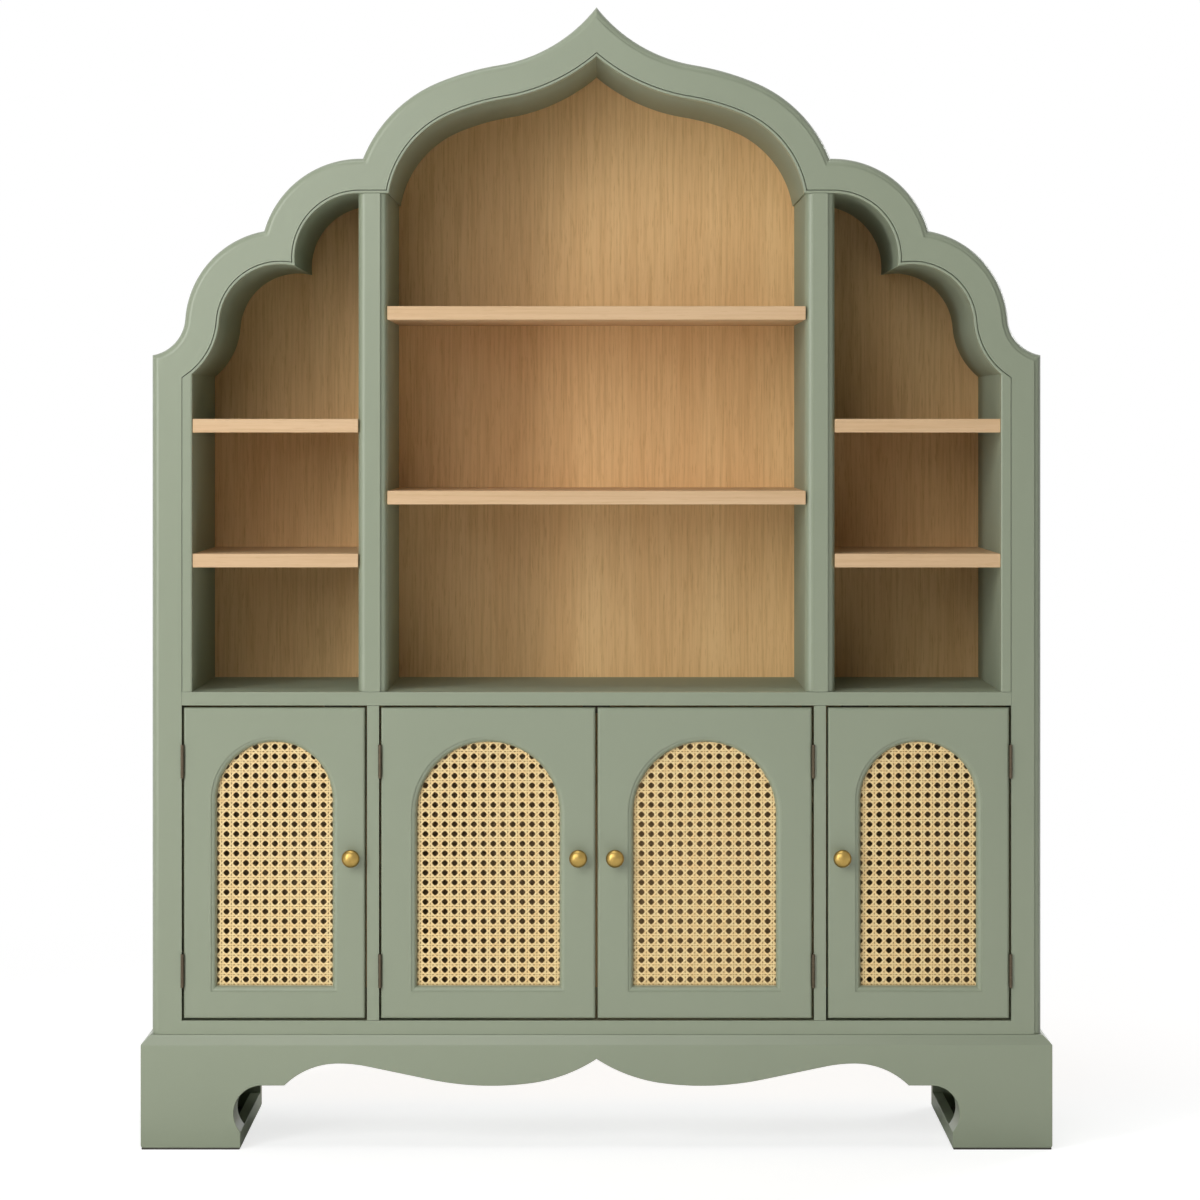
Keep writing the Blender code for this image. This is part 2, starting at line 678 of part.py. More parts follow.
def build_door_frame(name, left, right, stile, knob_x):
    """Door with an arched, moulded opening, a rebate behind it and a hole for the knob's stud."""
    frame = box(name, (left, right), (Y_FRONT, Y_FRONT + FACE_T), (DOOR_BOTTOM, DOOR_TOP))
    middle, half, bottom, top = opening_of(left, right, stile)

    def ring(grow, y):
        return (moved(door_arch(half + grow, bottom - grow, top + grow), middle), y)

    opening = loft(f"{name}_opening", [
        ring(2 * DOOR_MOULDING, Y_FRONT - DOOR_MOULDING),
        ring(0.0, Y_FRONT + DOOR_MOULDING),
        ring(0.0, REBATE_Y),
        ring(REBATE_WIDTH, REBATE_Y),
        ring(REBATE_WIDTH, Y_FRONT + FACE_T + REBATE_DEPTH),
    ])
    boolean(frame, as_cutter(opening))
    bore = KNOB_STUD_R + STUD_CLEARANCE
    profile = [(0.0, FACE_T), (bore, FACE_T), (bore, -FACE_T), (0.0, -FACE_T)]
    hole = turned(f"{name}_stud_hole", profile, KNUCKLE_STEPS)
    hole.location = (knob_x, Y_FRONT + FACE_T / 2, DOOR_BOTTOM + KNOB_HEIGHT)
    hole.rotation_euler = UPRIGHT
    boolean(frame, as_cutter(hole))
    return finish(frame, "sage_paint")


def build_cane(name, left, right, stile):
    """Sheet of woven cane in the rebate behind a door's opening."""
    middle, half, bottom, top = opening_of(left, right, stile)
    lap = REBATE_WIDTH - FIT
    loops = [door_arch(half + lap, bottom - lap, top + lap)] + cane_holes(half, bottom, top)
    sheet = outline(name, [moved(points, middle) for points in loops], UPRIGHT, REBATE_Y + FIT, CANE_T)
    return finish(sheet, "cane")


def build_knob(name, x):
    """Round knob on a rose, with a stud that passes into the door."""
    ball_centre = KNOB_REACH - KNOB_BALL_DEPTH / 2
    neck_angle = math.asin(KNOB_NECK_R / KNOB_R)
    profile = []
    for i in range(BALL_STEPS + 1):
        angle = (math.pi - neck_angle) * i / BALL_STEPS
        profile.append((KNOB_R * math.sin(angle), ball_centre + KNOB_BALL_DEPTH / 2 * math.cos(angle)))
    profile += [(KNOB_NECK_R, KNOB_ROSE_T), (KNOB_ROSE_R, KNOB_ROSE_T), (KNOB_ROSE_R, FIT)]
    profile += [(KNOB_STUD_R, FIT), (KNOB_STUD_R, -KNOB_STUD_LENGTH), (0.0, -KNOB_STUD_LENGTH)]
    knob = turned(name, profile, KNOB_STEPS)
    knob.location = (x, Y_FRONT, DOOR_BOTTOM + KNOB_HEIGHT)
    knob.rotation_euler = UPRIGHT
    return finish(knob, "aged_brass")


# Hinges, about their pin, with the carrying post on the -X side and the door on the +X side

def leaf_plate(name, x_near, tabs):
    """Hinge plate behind the knuckles, with tabs of given heights that reach the pin line."""
    clear = HINGE_KNUCKLE_R + FIT
    back = clear + HINGE_LEAF_WIDTH
    end = HINGE_LENGTH / 2 - HINGE_TIP
    points = [(back, -end), (back, end), (clear, end)]
    for low, high in tabs:
        points += [(clear, high), (0.0, high), (0.0, low), (clear, low)]
    points.append((clear, -end))
    distinct = [point for i, point in enumerate(points) if point != points[i - 1]]
    return as_mesh(outline(name, [distinct], SIDEWAYS, x_near, HINGE_LEAF_T))


def worked_mesh(plate, steps):
    """Mesh of a plate after joins and cuts by turned solids, in the hinge's own frame."""
    tools = []
    for operation, profile in steps:
        tool = as_cutter(turned(f"{plate.name}_{operation.lower()}", profile, KNUCKLE_STEPS))
        boolean(plate, tool, operation)
        tools.append(tool)
    solid = as_mesh(plate)
    mesh = solid.data
    mesh.transform(solid.matrix_world)
    mesh.shade_smooth()
    mesh.set_sharp_from_angle(angle=math.radians(SHARP_ANGLE))
    for spent in tools + [solid]:
        bpy.data.objects.remove(spent, do_unlink=True)
    return mesh


def rod(radius, half_length):
    """Profile of a plain rod about the pin line."""
    return [(0.0, half_length), (radius, half_length), (radius, -half_length), (0.0, -half_length)]


def frame_leaf_mesh():
    """Leaf on the post: two end knuckles joined by the pin."""
    end = HINGE_LENGTH / 2
    inner = HINGE_MIDDLE_KNUCKLE / 2 + FIT
    upper = [(0.0, end), (HINGE_KNUCKLE_R, end), (HINGE_KNUCKLE_R, inner), (HINGE_PIN_R, inner)]
    profile = upper + [(r, -z) for r, z in reversed(upper)]
    low, high = inner + HINGE_TIP, end - 2 * HINGE_TIP
    plate = leaf_plate("frame_leaf", FIT - DOOR_GAP / 2, [(low, high), (-high, -low)])
    return worked_mesh(plate, [("UNION", profile)])


def door_leaf_mesh():
    """Leaf on the door: a middle knuckle bored for the pin."""
    half = HINGE_MIDDLE_KNUCKLE / 2
    tab = half - HINGE_TIP
    plate = leaf_plate("door_leaf", DOOR_GAP / 2 - FIT - HINGE_LEAF_T, [(-tab, tab)])
    knuckle = rod(HINGE_KNUCKLE_R, half)
    bore = rod(HINGE_PIN_R + FIT, HINGE_LENGTH)
    return worked_mesh(plate, [("UNION", knuckle), ("DIFFERENCE", bore)])


def build_leaf(name, mesh, axis_x, height, hung_on_right):
    """One leaf of a hinge, turned over for a door that hangs on its right."""
    leaf = bpy.data.objects.new(name, mesh.copy())
    leaf.location = (axis_x, HINGE_AXIS_Y, height)
    leaf.rotation_euler = (0.0, math.pi if hung_on_right else 0.0, 0.0)
    PARTS.objects.link(leaf)
    return finish(leaf, "bronze")


def build_door(name, left, right, stile, knob_inset, hung_on_right, leaf_meshes):
    """One door on its two hinges, carried by an empty on the hinge axis."""
    axis_x = right + DOOR_GAP / 2 if hung_on_right else left - DOOR_GAP / 2
    knob_x = left + knob_inset if hung_on_right else right - knob_inset
    moving = [
        build_door_frame(f"{name}_door_frame", left, right, stile, knob_x),
        build_cane(f"{name}_door_cane", left, right, stile),
        build_knob(f"{name}_door_knob", knob_x),
    ]
    heights = {
        "upper": DOOR_TOP - HINGE_TOP_INSET - HINGE_LENGTH / 2,
        "lower": DOOR_BOTTOM + HINGE_BOTTOM_INSET + HINGE_LENGTH / 2,
    }
    for level, height in heights.items():
        hinge = f"{name}_{level}_hinge"
        build_leaf(f"{hinge}_frame_leaf", leaf_meshes[0], axis_x, height, hung_on_right)
        moving.append(build_leaf(f"{hinge}_door_leaf", leaf_meshes[1], axis_x, height, hung_on_right))
    axis = bpy.data.objects.new(f"{name}_door_axis", None)
    axis.location = (axis_x, HINGE_AXIS_Y, DOOR_BOTTOM)
    PARTS.objects.link(axis)
    for piece in moving:
        piece.parent = axis
        piece.matrix_parent_inverse = Matrix.Translation(axis.location).inverted()


def build_doors():
    """Two doors on the stiles and two on the partitions, each pair meeting the other by its knobs."""
    leaf_meshes = (frame_leaf_mesh(), door_leaf_mesh())
    outer = (MULLION_OUT + DOOR_GAP, STILE_IN - DOOR_GAP)
    inner = (DOOR_GAP / 2, MULLION_IN - DOOR_GAP)
    for kind, (near, far), stile, knob_inset in (
        ("outer", outer, OUTER_DOOR_STILE, OUTER_KNOB_INSET),
        ("inner", inner, INNER_DOOR_STILE, INNER_KNOB_INSET),
    ):
        build_door(f"left_{kind}", -far, -near, stile, knob_inset, False, leaf_meshes)
        build_door(f"right_{kind}", near, far, stile, knob_inset, True, leaf_meshes)
    for mesh in leaf_meshes:
        bpy.data.meshes.remove(mesh)


def build_catches():
    """Magnetic catches under the deck, just behind the free edge of each door."""
    y = (Y_BEHIND_FACE, Y_BEHIND_FACE + CATCH_SIZE)
    z = (DECK_BOTTOM - FIT - CATCH_SIZE, DECK_BOTTOM - FIT)
    side_x = MULLION_OUT + CATCH_INSET
    for label, x in (("left", -side_x), ("centre", 0.0), ("right", side_x)):
        catch = box(f"magnetic_catch_{label}", (x - CATCH_LENGTH / 2, x + CATCH_LENGTH / 2), y, z)
        finish(catch, "brown_plastic")


build_plinth()
build_carcass()
build_head()
build_partitions()
build_shelves()
build_doors()
build_catches()
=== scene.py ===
"""Looks of an arched, painted bookcase with oak shelves and cane doors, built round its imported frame.

Metres, +X to the right, +Y to the back, +Z up. The left and right halves are mirror images.
"""
import json
import logging
import math
from collections.abc import Callable, Iterable, Sequence
from dataclasses import dataclass
from enum import Enum

import bmesh
import bpy
from bmesh.types import BMEdge, BMesh, BMVert
from bpy.types import Material, Node, NodeTree, Object
from mathutils import Matrix, Vector

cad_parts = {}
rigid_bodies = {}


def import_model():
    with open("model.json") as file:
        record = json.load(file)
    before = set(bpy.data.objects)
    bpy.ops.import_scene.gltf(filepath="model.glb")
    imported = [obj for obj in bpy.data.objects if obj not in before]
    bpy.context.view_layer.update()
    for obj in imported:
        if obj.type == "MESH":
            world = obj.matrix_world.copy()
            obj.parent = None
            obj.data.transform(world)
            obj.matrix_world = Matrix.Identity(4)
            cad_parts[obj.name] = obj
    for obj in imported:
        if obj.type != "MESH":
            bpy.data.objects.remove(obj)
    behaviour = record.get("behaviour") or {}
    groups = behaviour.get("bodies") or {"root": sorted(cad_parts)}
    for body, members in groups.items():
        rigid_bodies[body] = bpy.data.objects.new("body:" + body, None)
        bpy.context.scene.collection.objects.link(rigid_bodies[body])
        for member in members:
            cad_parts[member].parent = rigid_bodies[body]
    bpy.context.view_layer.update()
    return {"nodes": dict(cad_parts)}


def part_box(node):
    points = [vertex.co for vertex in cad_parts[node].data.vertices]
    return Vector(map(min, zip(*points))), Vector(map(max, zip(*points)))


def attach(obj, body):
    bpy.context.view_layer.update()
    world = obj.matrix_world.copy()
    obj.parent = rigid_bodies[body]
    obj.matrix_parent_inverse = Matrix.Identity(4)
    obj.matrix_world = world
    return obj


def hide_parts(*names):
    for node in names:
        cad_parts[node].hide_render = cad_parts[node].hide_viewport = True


LOG = logging.getLogger("bookcase")
MM = 0.001
HAIR = 0.01 * MM
NEAR = 0.1 * MM
TINY = 1e-9
WHITE = (1.0, 1.0, 1.0, 1.0)
Point = tuple[float, float]
Place = tuple[float, float, float]

# Angles in degrees past which an edge is shaded sharp
PLAIN_EDGE = 32.0
MOULDED_EDGE = 24.0
DOOR_EDGE = 28.0
TURNED_EDGE = 40.0
WOVEN_EDGE = 60.0
# Angle past which an edge is rounded
EASED_EDGE = math.radians(28.0)

# Places that the pieces share
FRONT = -0.169
FACE_T = 0.022
FACE_BACK = FRONT + FACE_T
INSIDE_BACK = 0.1887
HALF = 0.7415
STILE_IN = 0.6915
LINER_OUT = 0.6905
LINER_IN = 0.674
POST_OUT = 0.3975
POST_IN = 0.3475
DECK_TOP = 0.760
FIT = 0.0003


class Side(Enum):
    """Left or right half of the unit, with the sign of its X."""

    LEFT = -1.0
    RIGHT = 1.0

    @property
    def label(self) -> str:
        """Lower-case word used in node names."""
        return self.name.lower()


class Grain(Enum):
    """Way the oak's grain runs, with the turn that brings it to the pattern's Z."""

    UPRIGHT = (0.0, 0.0, 0.0)
    LEVEL = (0.0, math.radians(90.0), 0.0)


# Node helpers

def linear(code: str) -> tuple[float, float, float, float]:
    """Turn an sRGB hex colour to linear RGBA.

    Args:
        code: Colour such as "#99A18D".

    Returns:
        Linear red, green, blue and an alpha of 1.
    """
    channels = [int(code[i:i + 2], 16) / 255.0 for i in (1, 3, 5)]
    red, green, blue = (c / 12.92 if c <= 0.04045 else ((c + 0.055) / 1.055) ** 2.4 for c in channels)
    return (red, green, blue, 1.0)


def add_node(tree: NodeTree, kind: str, settings: dict | None = None, values: dict | None = None,
             links: dict | None = None) -> Node:
    """Add a node with its settings, constant inputs and links.

    Args:
        tree: Node tree that gets the node.
        kind: Blender's type name of the node.
        settings: Attributes of the node.
        values: Constants by input name or number.
        links: Output sockets by input name or number.

    Returns:
        The new node.
    """
    node = tree.nodes.new(kind)
    for key, value in (settings or {}).items():
        setattr(node, key, value)
    for key, value in (values or {}).items():
        node.inputs[key].default_value = value
    for key, socket in (links or {}).items():
        tree.links.new(socket, node.inputs[key])
    return node


def new_material(name: str) -> tuple[Material, NodeTree, Node]:
    """Make a node material.

    Args:
        name: Name of the material.

    Returns:
        The material, its tree and its Principled shader.
    """
    material = bpy.data.materials.new(name)
    material.use_nodes = True
    tree = material.node_tree
    return material, tree, tree.nodes["Principled BSDF"]


def set_inputs(shader: Node, **values: float) -> None:
    """Set constants on a shader's sockets, named with underscores for spaces."""
    for key, value in values.items():
        shader.inputs[key.replace("_", " ")].default_value = value


# Finishes

@dataclass(frozen=True)
class SatinPaint:
    """Sprayed satin paint on primed boards: an even film, faintly stippled, with a soft sheen."""

    name: str = "satin_sage_paint"
    colour: str = "#99A28B"
    deeper: str = "#939C85"
    drift_mm: float = 320.0
    stipple_mm: float = 2.4
    roughness: float = 0.32
    inside: float = 0.32
    spread: float = 0.05
    edge_y: Point = (-0.160, -0.145)
    bump: float = 0.06
    bump_mm: float = 0.4
    ior: float = 1.48

    def material(self) -> Material:
        """Build the paint: slow drift of tone, and a stipple that moves roughness and bump.

        Returns:
            The new material.
        """
        material, tree, shader = new_material(self.name)
        coords = add_node(tree, "ShaderNodeTexCoord").outputs["Object"]
        drift = add_node(tree, "ShaderNodeTexNoise", None,
                         {"Scale": 1.0 / (self.drift_mm * MM), "Detail": 2.0}, {"Vector": coords})
        tone = add_node(tree, "ShaderNodeMix", {"data_type": "RGBA"},
                        {6: linear(self.colour), 7: linear(self.deeper)}, {0: drift.outputs["Fac"]})
        # Real stipple is about 1 mm: drawn coarser so that it shows
        stipple = add_node(tree, "ShaderNodeTexNoise", None,
                           {"Scale": 1.0 / (self.stipple_mm * MM), "Detail": 3.0}, {"Vector": coords})
        # The front is rubbed to a sheen, and the inside of the bays may be left matter
        depth = add_node(tree, "ShaderNodeSeparateXYZ", None, None, {"Vector": coords})
        front, behind = self.edge_y
        base = add_node(tree, "ShaderNodeMapRange", None,
                        {"From Min": front, "From Max": behind, "To Min": self.roughness,
                         "To Max": self.inside}, {"Value": depth.outputs["Y"]})
        spread = add_node(tree, "ShaderNodeMapRange", None, {"To Min": -self.spread, "To Max": self.spread},
                          {"Value": stipple.outputs["Fac"]})
        rough = add_node(tree, "ShaderNodeMath", {"operation": "ADD"}, None,
                         {0: base.outputs["Result"], 1: spread.outputs["Result"]})
        bump = add_node(tree, "ShaderNodeBump", None,
                        {"Strength": self.bump, "Distance": self.bump_mm * MM},
                        {"Height": stipple.outputs["Fac"]})
        tree.links.new(tone.outputs[2], shader.inputs["Base Color"])
        tree.links.new(rough.outputs["Value"], shader.inputs["Roughness"])
        tree.links.new(bump.outputs["Normal"], shader.inputs["Normal"])
        set_inputs(shader, IOR=self.ior)
        return material


@dataclass(frozen=True)
class OakVeneer:
    """Sliced white oak under matt lacquer: fine long grain, short dark pores and slow bands of tone."""

    name: str
    grain: Grain
    light: str = "#F3CB90"
    middle: str = "#E9BD82"
    dark: str = "#BF8E54"
    band_mm: Point = (70.0, 1400.0)
    fibre_mm: Point = (3.8, 150.0)
    pore_mm: Point = (2.0, 32.0)
    band_range: Point = (0.3, 0.7)
    fibre_range: Point = (0.42, 0.72)
    pore_range: Point = (0.56, 0.70)
    shade: float = 0.38
    roughness: Point = (0.50, 0.66)
    bump: float = 0.12
    bump_mm: float = 0.4
    ior: float = 1.5

    def stretched(self, tree: NodeTree, sizes: Point) -> Node:
        """Noise drawn long along the grain.

        Args:
            tree: Node tree of the material.
            sizes: Size across and along the grain, in millimetres.

        Returns:
            The noise node.
        """
        coords = add_node(tree, "ShaderNodeTexCoord").outputs["Object"]
        turned = add_node(tree, "ShaderNodeMapping", {"vector_type": "POINT"},
                          {"Rotation": self.grain.value}, {"Vector": coords})
        across, along = (1.0 / (size * MM) for size in sizes)
        scaled = add_node(tree, "ShaderNodeMapping", {"vector_type": "POINT"},
                          {"Scale": (across, across, along)}, {"Vector": turned.outputs["Vector"]})
        return add_node(tree, "ShaderNodeTexNoise", None,
                        {"Scale": 1.0, "Detail": 2.5, "Roughness": 0.55},
                        {"Vector": scaled.outputs["Vector"]})

    def marked(self, tree: NodeTree, noise: Node, limits: Point, most: float) -> Node:
        """Share of a mark where a noise lies between two limits.

        Args:
            tree: Node tree of the material.
            noise: Noise of the mark.
            limits: Values at which the mark begins and is full.
            most: Share of a full mark.

        Returns:
            The node whose result is the share.
        """
        low, high = limits
        return add_node(tree, "ShaderNodeMapRange", None, {"From Min": low, "From Max": high, "To Max": most},
                        {"Value": noise.outputs["Fac"]})

    def material(self) -> Material:
        """Build the veneer from bands, fibres and pores.

        Returns:
            The new material.
        """
        material, tree, shader = new_material(self.name)
        band = self.stretched(tree, self.band_mm)
        fibre = self.stretched(tree, self.fibre_mm)
        # Oak's pores are about 0.3 mm wide: drawn wider so that they show
        pore = self.stretched(tree, self.pore_mm)
        banded = self.marked(tree, band, self.band_range, 1.0)
        ground = add_node(tree, "ShaderNodeMix", {"data_type": "RGBA"},
                          {6: linear(self.light), 7: linear(self.middle)}, {0: banded.outputs["Result"]})
        streak = self.marked(tree, fibre, self.fibre_range, self.shade)
        grained = add_node(tree, "ShaderNodeMix", {"data_type": "RGBA"}, {7: linear(self.dark)},
                           {0: streak.outputs["Result"], 6: ground.outputs[2]})
        dash = self.marked(tree, pore, self.pore_range, self.shade)
        pored = add_node(tree, "ShaderNodeMix", {"data_type": "RGBA"}, {7: linear(self.dark)},
                         {0: dash.outputs["Result"], 6: grained.outputs[2]})
        smooth, dull = self.roughness
        rough = add_node(tree, "ShaderNodeMapRange", None, {"To Min": smooth, "To Max": dull},
                         {"Value": pore.outputs["Fac"]})
        bump = add_node(tree, "ShaderNodeBump", {"invert": True},
                        {"Strength": self.bump, "Distance": self.bump_mm * MM},
                        {"Height": dash.outputs["Result"]})
        tree.links.new(pored.outputs[2], shader.inputs["Base Color"])
        tree.links.new(rough.outputs["Result"], shader.inputs["Roughness"])
        tree.links.new(bump.outputs["Normal"], shader.inputs["Normal"])
        set_inputs(shader, IOR=self.ior)
        return material


@dataclass(frozen=True)
class WovenCane:
    """Peeled rattan strands: a smooth pale bark with fine length lines, duller and darker at its edges. The
    dark edges are partly the cane's own and partly painted shade where strands meet and cross.
    """

    name: str = "woven_rattan_cane"
    bark: str = "#FFE6AA"
    shaded: str = "#FFDB9A"
    # Colour at the strand's edges: partly the cane's own, partly painted shade where strands meet and cross
    edge: str = "#C08C42"
    patch_mm: float = 11.0
    patch_range: Point = (0.35, 0.7)
    rim_range: Point = (0.36, 0.5)
    rim_shade: float = 0.7
    fibres: float = 7.0
    roughness: Point = (0.36, 0.52)
    bump: float = 0.12
    bump_mm: float = 0.1
    ior: float = 1.5

    def material(self) -> Material:
        """Build the cane: tone by patches along the weave, dark edges that are partly painted shade between
        strands, and fibres by the strand's UV map.

        Returns:
            The new material.
        """
        material, tree, shader = new_material(self.name)
        coords = add_node(tree, "ShaderNodeTexCoord").outputs["Object"]
        strand = add_node(tree, "ShaderNodeUVMap", {"uv_map": "strand"}).outputs["UV"]
        split = add_node(tree, "ShaderNodeSeparateXYZ", None, None, {"Vector": strand})
        patch = add_node(tree, "ShaderNodeTexNoise", None,
                         {"Scale": 1.0 / (self.patch_mm * MM), "Detail": 3.0}, {"Vector": coords})
        low, high = self.patch_range
        spread = add_node(tree, "ShaderNodeMapRange", None, {"From Min": low, "From Max": high},
                          {"Value": patch.outputs["Fac"]})
        tone = add_node(tree, "ShaderNodeMix", {"data_type": "RGBA"},
                        {6: linear(self.bark), 7: linear(self.shaded)}, {0: spread.outputs["Result"]})
        # Painted shade: each strand darkens towards both edges, where it meets and passes under its
        # neighbours
        away = add_node(tree, "ShaderNodeMath", {"operation": "SUBTRACT"}, {1: 0.5}, {0: split.outputs["Y"]})
        rim = add_node(tree, "ShaderNodeMath", {"operation": "ABSOLUTE"}, None, {0: away.outputs["Value"]})
        inner, outer = self.rim_range
        rim_shaded = add_node(tree, "ShaderNodeMapRange", None,
                          {"From Min": inner, "From Max": outer, "To Max": self.rim_shade},
                          {"Value": rim.outputs["Value"]})
        edge_shaded = add_node(tree, "ShaderNodeMix", {"data_type": "RGBA"}, {7: linear(self.edge)},
                         {0: rim_shaded.outputs["Result"], 6: tone.outputs[2]})
        wave = add_node(tree, "ShaderNodeMath", {"operation": "MULTIPLY"},
                        {1: self.fibres * 2.0 * math.pi}, {0: split.outputs["Y"]})
        fibre = add_node(tree, "ShaderNodeMath", {"operation": "SINE"}, None, {0: wave.outputs["Value"]})
        bump = add_node(tree, "ShaderNodeBump", None,
                        {"Strength": self.bump, "Distance": self.bump_mm * MM},
                        {"Height": fibre.outputs["Value"]})
        smooth, dull = self.roughness
        rough = add_node(tree, "ShaderNodeMapRange", None, {"To Min": smooth, "To Max": dull},
                         {"Value": patch.outputs["Fac"]})
        tree.links.new(edge_shaded.outputs[2], shader.inputs["Base Color"])
        tree.links.new(rough.outputs["Result"], shader.inputs["Roughness"])
        tree.links.new(bump.outputs["Normal"], shader.inputs["Normal"])
        set_inputs(shader, IOR=self.ior)
        return material


@dataclass(frozen=True)
class Metal:
    """Metal with a drifting patina: colour and roughness vary softly over the surface."""

    name: str
    bright: str
    dull: str
    patina_mm: float
    roughness: Point

    def material(self) -> Material:
        """Build the metal from one patina noise.

        Returns:
            The new material.
        """
        material, tree, shader = new_material(self.name)
        coords = add_node(tree, "ShaderNodeTexCoord").outputs["Object"]
        patina = add_node(tree, "ShaderNodeTexNoise", None,
                          {"Scale": 1.0 / (self.patina_mm * MM), "Detail": 4.0}, {"Vector": coords})
        tone = add_node(tree, "ShaderNodeMix", {"data_type": "RGBA"},
                        {6: linear(self.bright), 7: linear(self.dull)}, {0: patina.outputs["Fac"]})
        low, high = self.roughness
        rough = add_node(tree, "ShaderNodeMapRange", None, {"To Min": low, "To Max": high},
                         {"Value": patina.outputs["Fac"]})
        tree.links.new(tone.outputs[2], shader.inputs["Base Color"])
        tree.links.new(rough.outputs["Result"], shader.inputs["Roughness"])
        set_inputs(shader, Metallic=1.0)
        return material


@dataclass(frozen=True)
class MouldedPlastic:
    """Injection-moulded ABS or rubber: one deep colour with a fine spark-eroded texture."""

    name: str = "moulded_brown_abs"
    colour: str = "#5A4433"
    paler: str = "#6A5240"
    grit_mm: float = 0.6
    roughness: float = 0.5
    bump: float = 0.2
    bump_mm: float = 0.05
    ior: float = 1.53

    def material(self) -> Material:
        """Build the plastic from one fine grit.

        Returns:
            The new material.
        """
        material, tree, shader = new_material(self.name)
        coords = add_node(tree, "ShaderNodeTexCoord").outputs["Object"]
        grit = add_node(tree, "ShaderNodeTexNoise", None,
                        {"Scale": 1.0 / (self.grit_mm * MM), "Detail": 2.0}, {"Vector": coords})
        tone = add_node(tree, "ShaderNodeMix", {"data_type": "RGBA"},
                        {6: linear(self.colour), 7: linear(self.paler)}, {0: grit.outputs["Fac"]})
        bump = add_node(tree, "ShaderNodeBump", None,
                        {"Strength": self.bump, "Distance": self.bump_mm * MM},
                        {"Height": grit.outputs["Fac"]})
        tree.links.new(tone.outputs[2], shader.inputs["Base Color"])
        tree.links.new(bump.outputs["Normal"], shader.inputs["Normal"])
        set_inputs(shader, Roughness=self.roughness, IOR=self.ior)
        return material


@dataclass
class Palette:
    """Every finish of the unit, as materials."""

    paint: Material
    inner_paint: Material
    oak_upright: Material
    oak_level: Material
    ply: Material
    cane: Material
    brass: Material
    bronze: Material
    plastic: Material
    # Dark rubber of the foot pads: partly a real pad, partly painted shade under the feet
    rubber: Material

    @classmethod
    def mixed(cls) -> "Palette":
        """Build one material for each finish.

        Returns:
            The palette.
        """
        return cls(
            paint=SatinPaint().material(),
            inner_paint=SatinPaint("matt_sage_paint", inside=0.85).material(),
            oak_upright=OakVeneer("oak_veneer_upright", Grain.UPRIGHT).material(),
            oak_level=OakVeneer("oak_veneer_level", Grain.LEVEL, light="#E2C097", middle="#DBB78B",
                                dark="#C9A273", band_mm=(30.0, 900.0)).material(),
            ply=OakVeneer("birch_plywood", Grain.UPRIGHT, light="#EBC592", middle="#E1B881", dark="#BE915C",
                          band_mm=(160.0, 2200.0)).material(),
            cane=WovenCane().material(),
            brass=Metal("aged_satin_brass", "#AB9154", "#8A7038", 9.0, (0.26, 0.38)).material(),
            bronze=Metal("bronzed_steel", "#5F5445", "#3F382E", 6.0, (0.36, 0.52)).material(),
            plastic=MouldedPlastic().material(),
            # The pads' dark colour also serves as painted shade for the dark line under the feet
            rubber=MouldedPlastic("moulded_dark_rubber", "#34312B", "#403C35", 0.9).material(),
        )


# Mesh helpers

def arc(centre: Point, radius: float, start: float, end: float, steps: int) -> list[Point]:
    """Points on a circle from one angle to another, both ends included.

    Args:
        centre: Centre of the circle.
        radius: Its radius.
        start: First angle, in degrees.
        end: Last angle, in degrees.
        steps: Number of chords.

    Returns:
        The points.
    """
    points = []
    for i in range(steps + 1):
        angle = math.radians(start + (end - start) * i / steps)
        points.append((centre[0] + radius * math.cos(angle), centre[1] + radius * math.sin(angle)))
    return points


def angle_of(centre: Point, point: Point) -> float:
    """Angle of a point seen from a centre, in degrees from -90 to 270."""
    angle = math.degrees(math.atan2(point[1] - centre[1], point[0] - centre[0]))
    return angle if angle >= -90.0 else angle + 360.0


def step_from(centre: Point, distance: float, angle: float) -> Point:
    """Point at a distance and an angle, in degrees, from a centre."""
    turn = math.radians(angle)
    return (centre[0] + distance * math.cos(turn), centre[1] + distance * math.sin(turn))


def mirrored(points: Sequence[Point]) -> list[Point]:
    """The same points on the other side of the middle, in reverse order."""
    return [(-u, v) for u, v in reversed(points)]


def across(half: Sequence[Point]) -> list[Point]:
    """A half outline that ends on the middle line, carried on to the left."""
    return list(half) + mirrored(half)[1:]


def sided(points: Sequence[Point], side: Side) -> list[Point]:
    """An outline drawn for the right half, put on the given side."""
    return list(points) if side is Side.RIGHT else mirrored(points)


def face_outwards(mesh: BMesh) -> None:
    """Turn the faces of a closed mesh outwards.

    Args:
        mesh: Mesh to work on.
    """
    bmesh.ops.recalc_face_normals(mesh, faces=mesh.faces)
    if mesh.calc_volume(signed=True) < 0.0:
        bmesh.ops.reverse_faces(mesh, faces=mesh.faces)


def loop(mesh: BMesh, points: Iterable[Sequence[float]]) -> list[BMEdge]:
    """Closed loop of edges through places in space."""
    verts = [mesh.verts.new(point) for point in points]
    return [mesh.edges.new((verts[i - 1], verts[i])) for i in range(len(verts))]


def upright(points: Sequence[Point], depth: float) -> list[Vector]:
    """Places of (x, z) points at a depth y."""
    return [Vector((x, depth, z)) for x, z in points]


def level(points: Sequence[Point], height: float) -> list[Vector]:
    """Places of (x, y) points at a height z."""
    return [Vector((x, y, height)) for x, y in points]


def parted(rings: Sequence[Sequence[Vector]]) -> list[list[Vector]]:
    """Give neighbouring rings of one plane a hair of depth between them, since a flat bridge can twist.

    Args:
        rings: Rings of places, in order.

    Returns:
        The rings, of which some are moved back.
    """
    hair = Vector((0.0, HAIR, 0.0))
    spaced = [list(rings[0])]
    for ring in rings[1:]:
        flat = abs(ring[0].y - spaced[-1][0].y) < hair.y / 2.0
        spaced.append([place + hair for place in ring] if flat else list(ring))
    return spaced


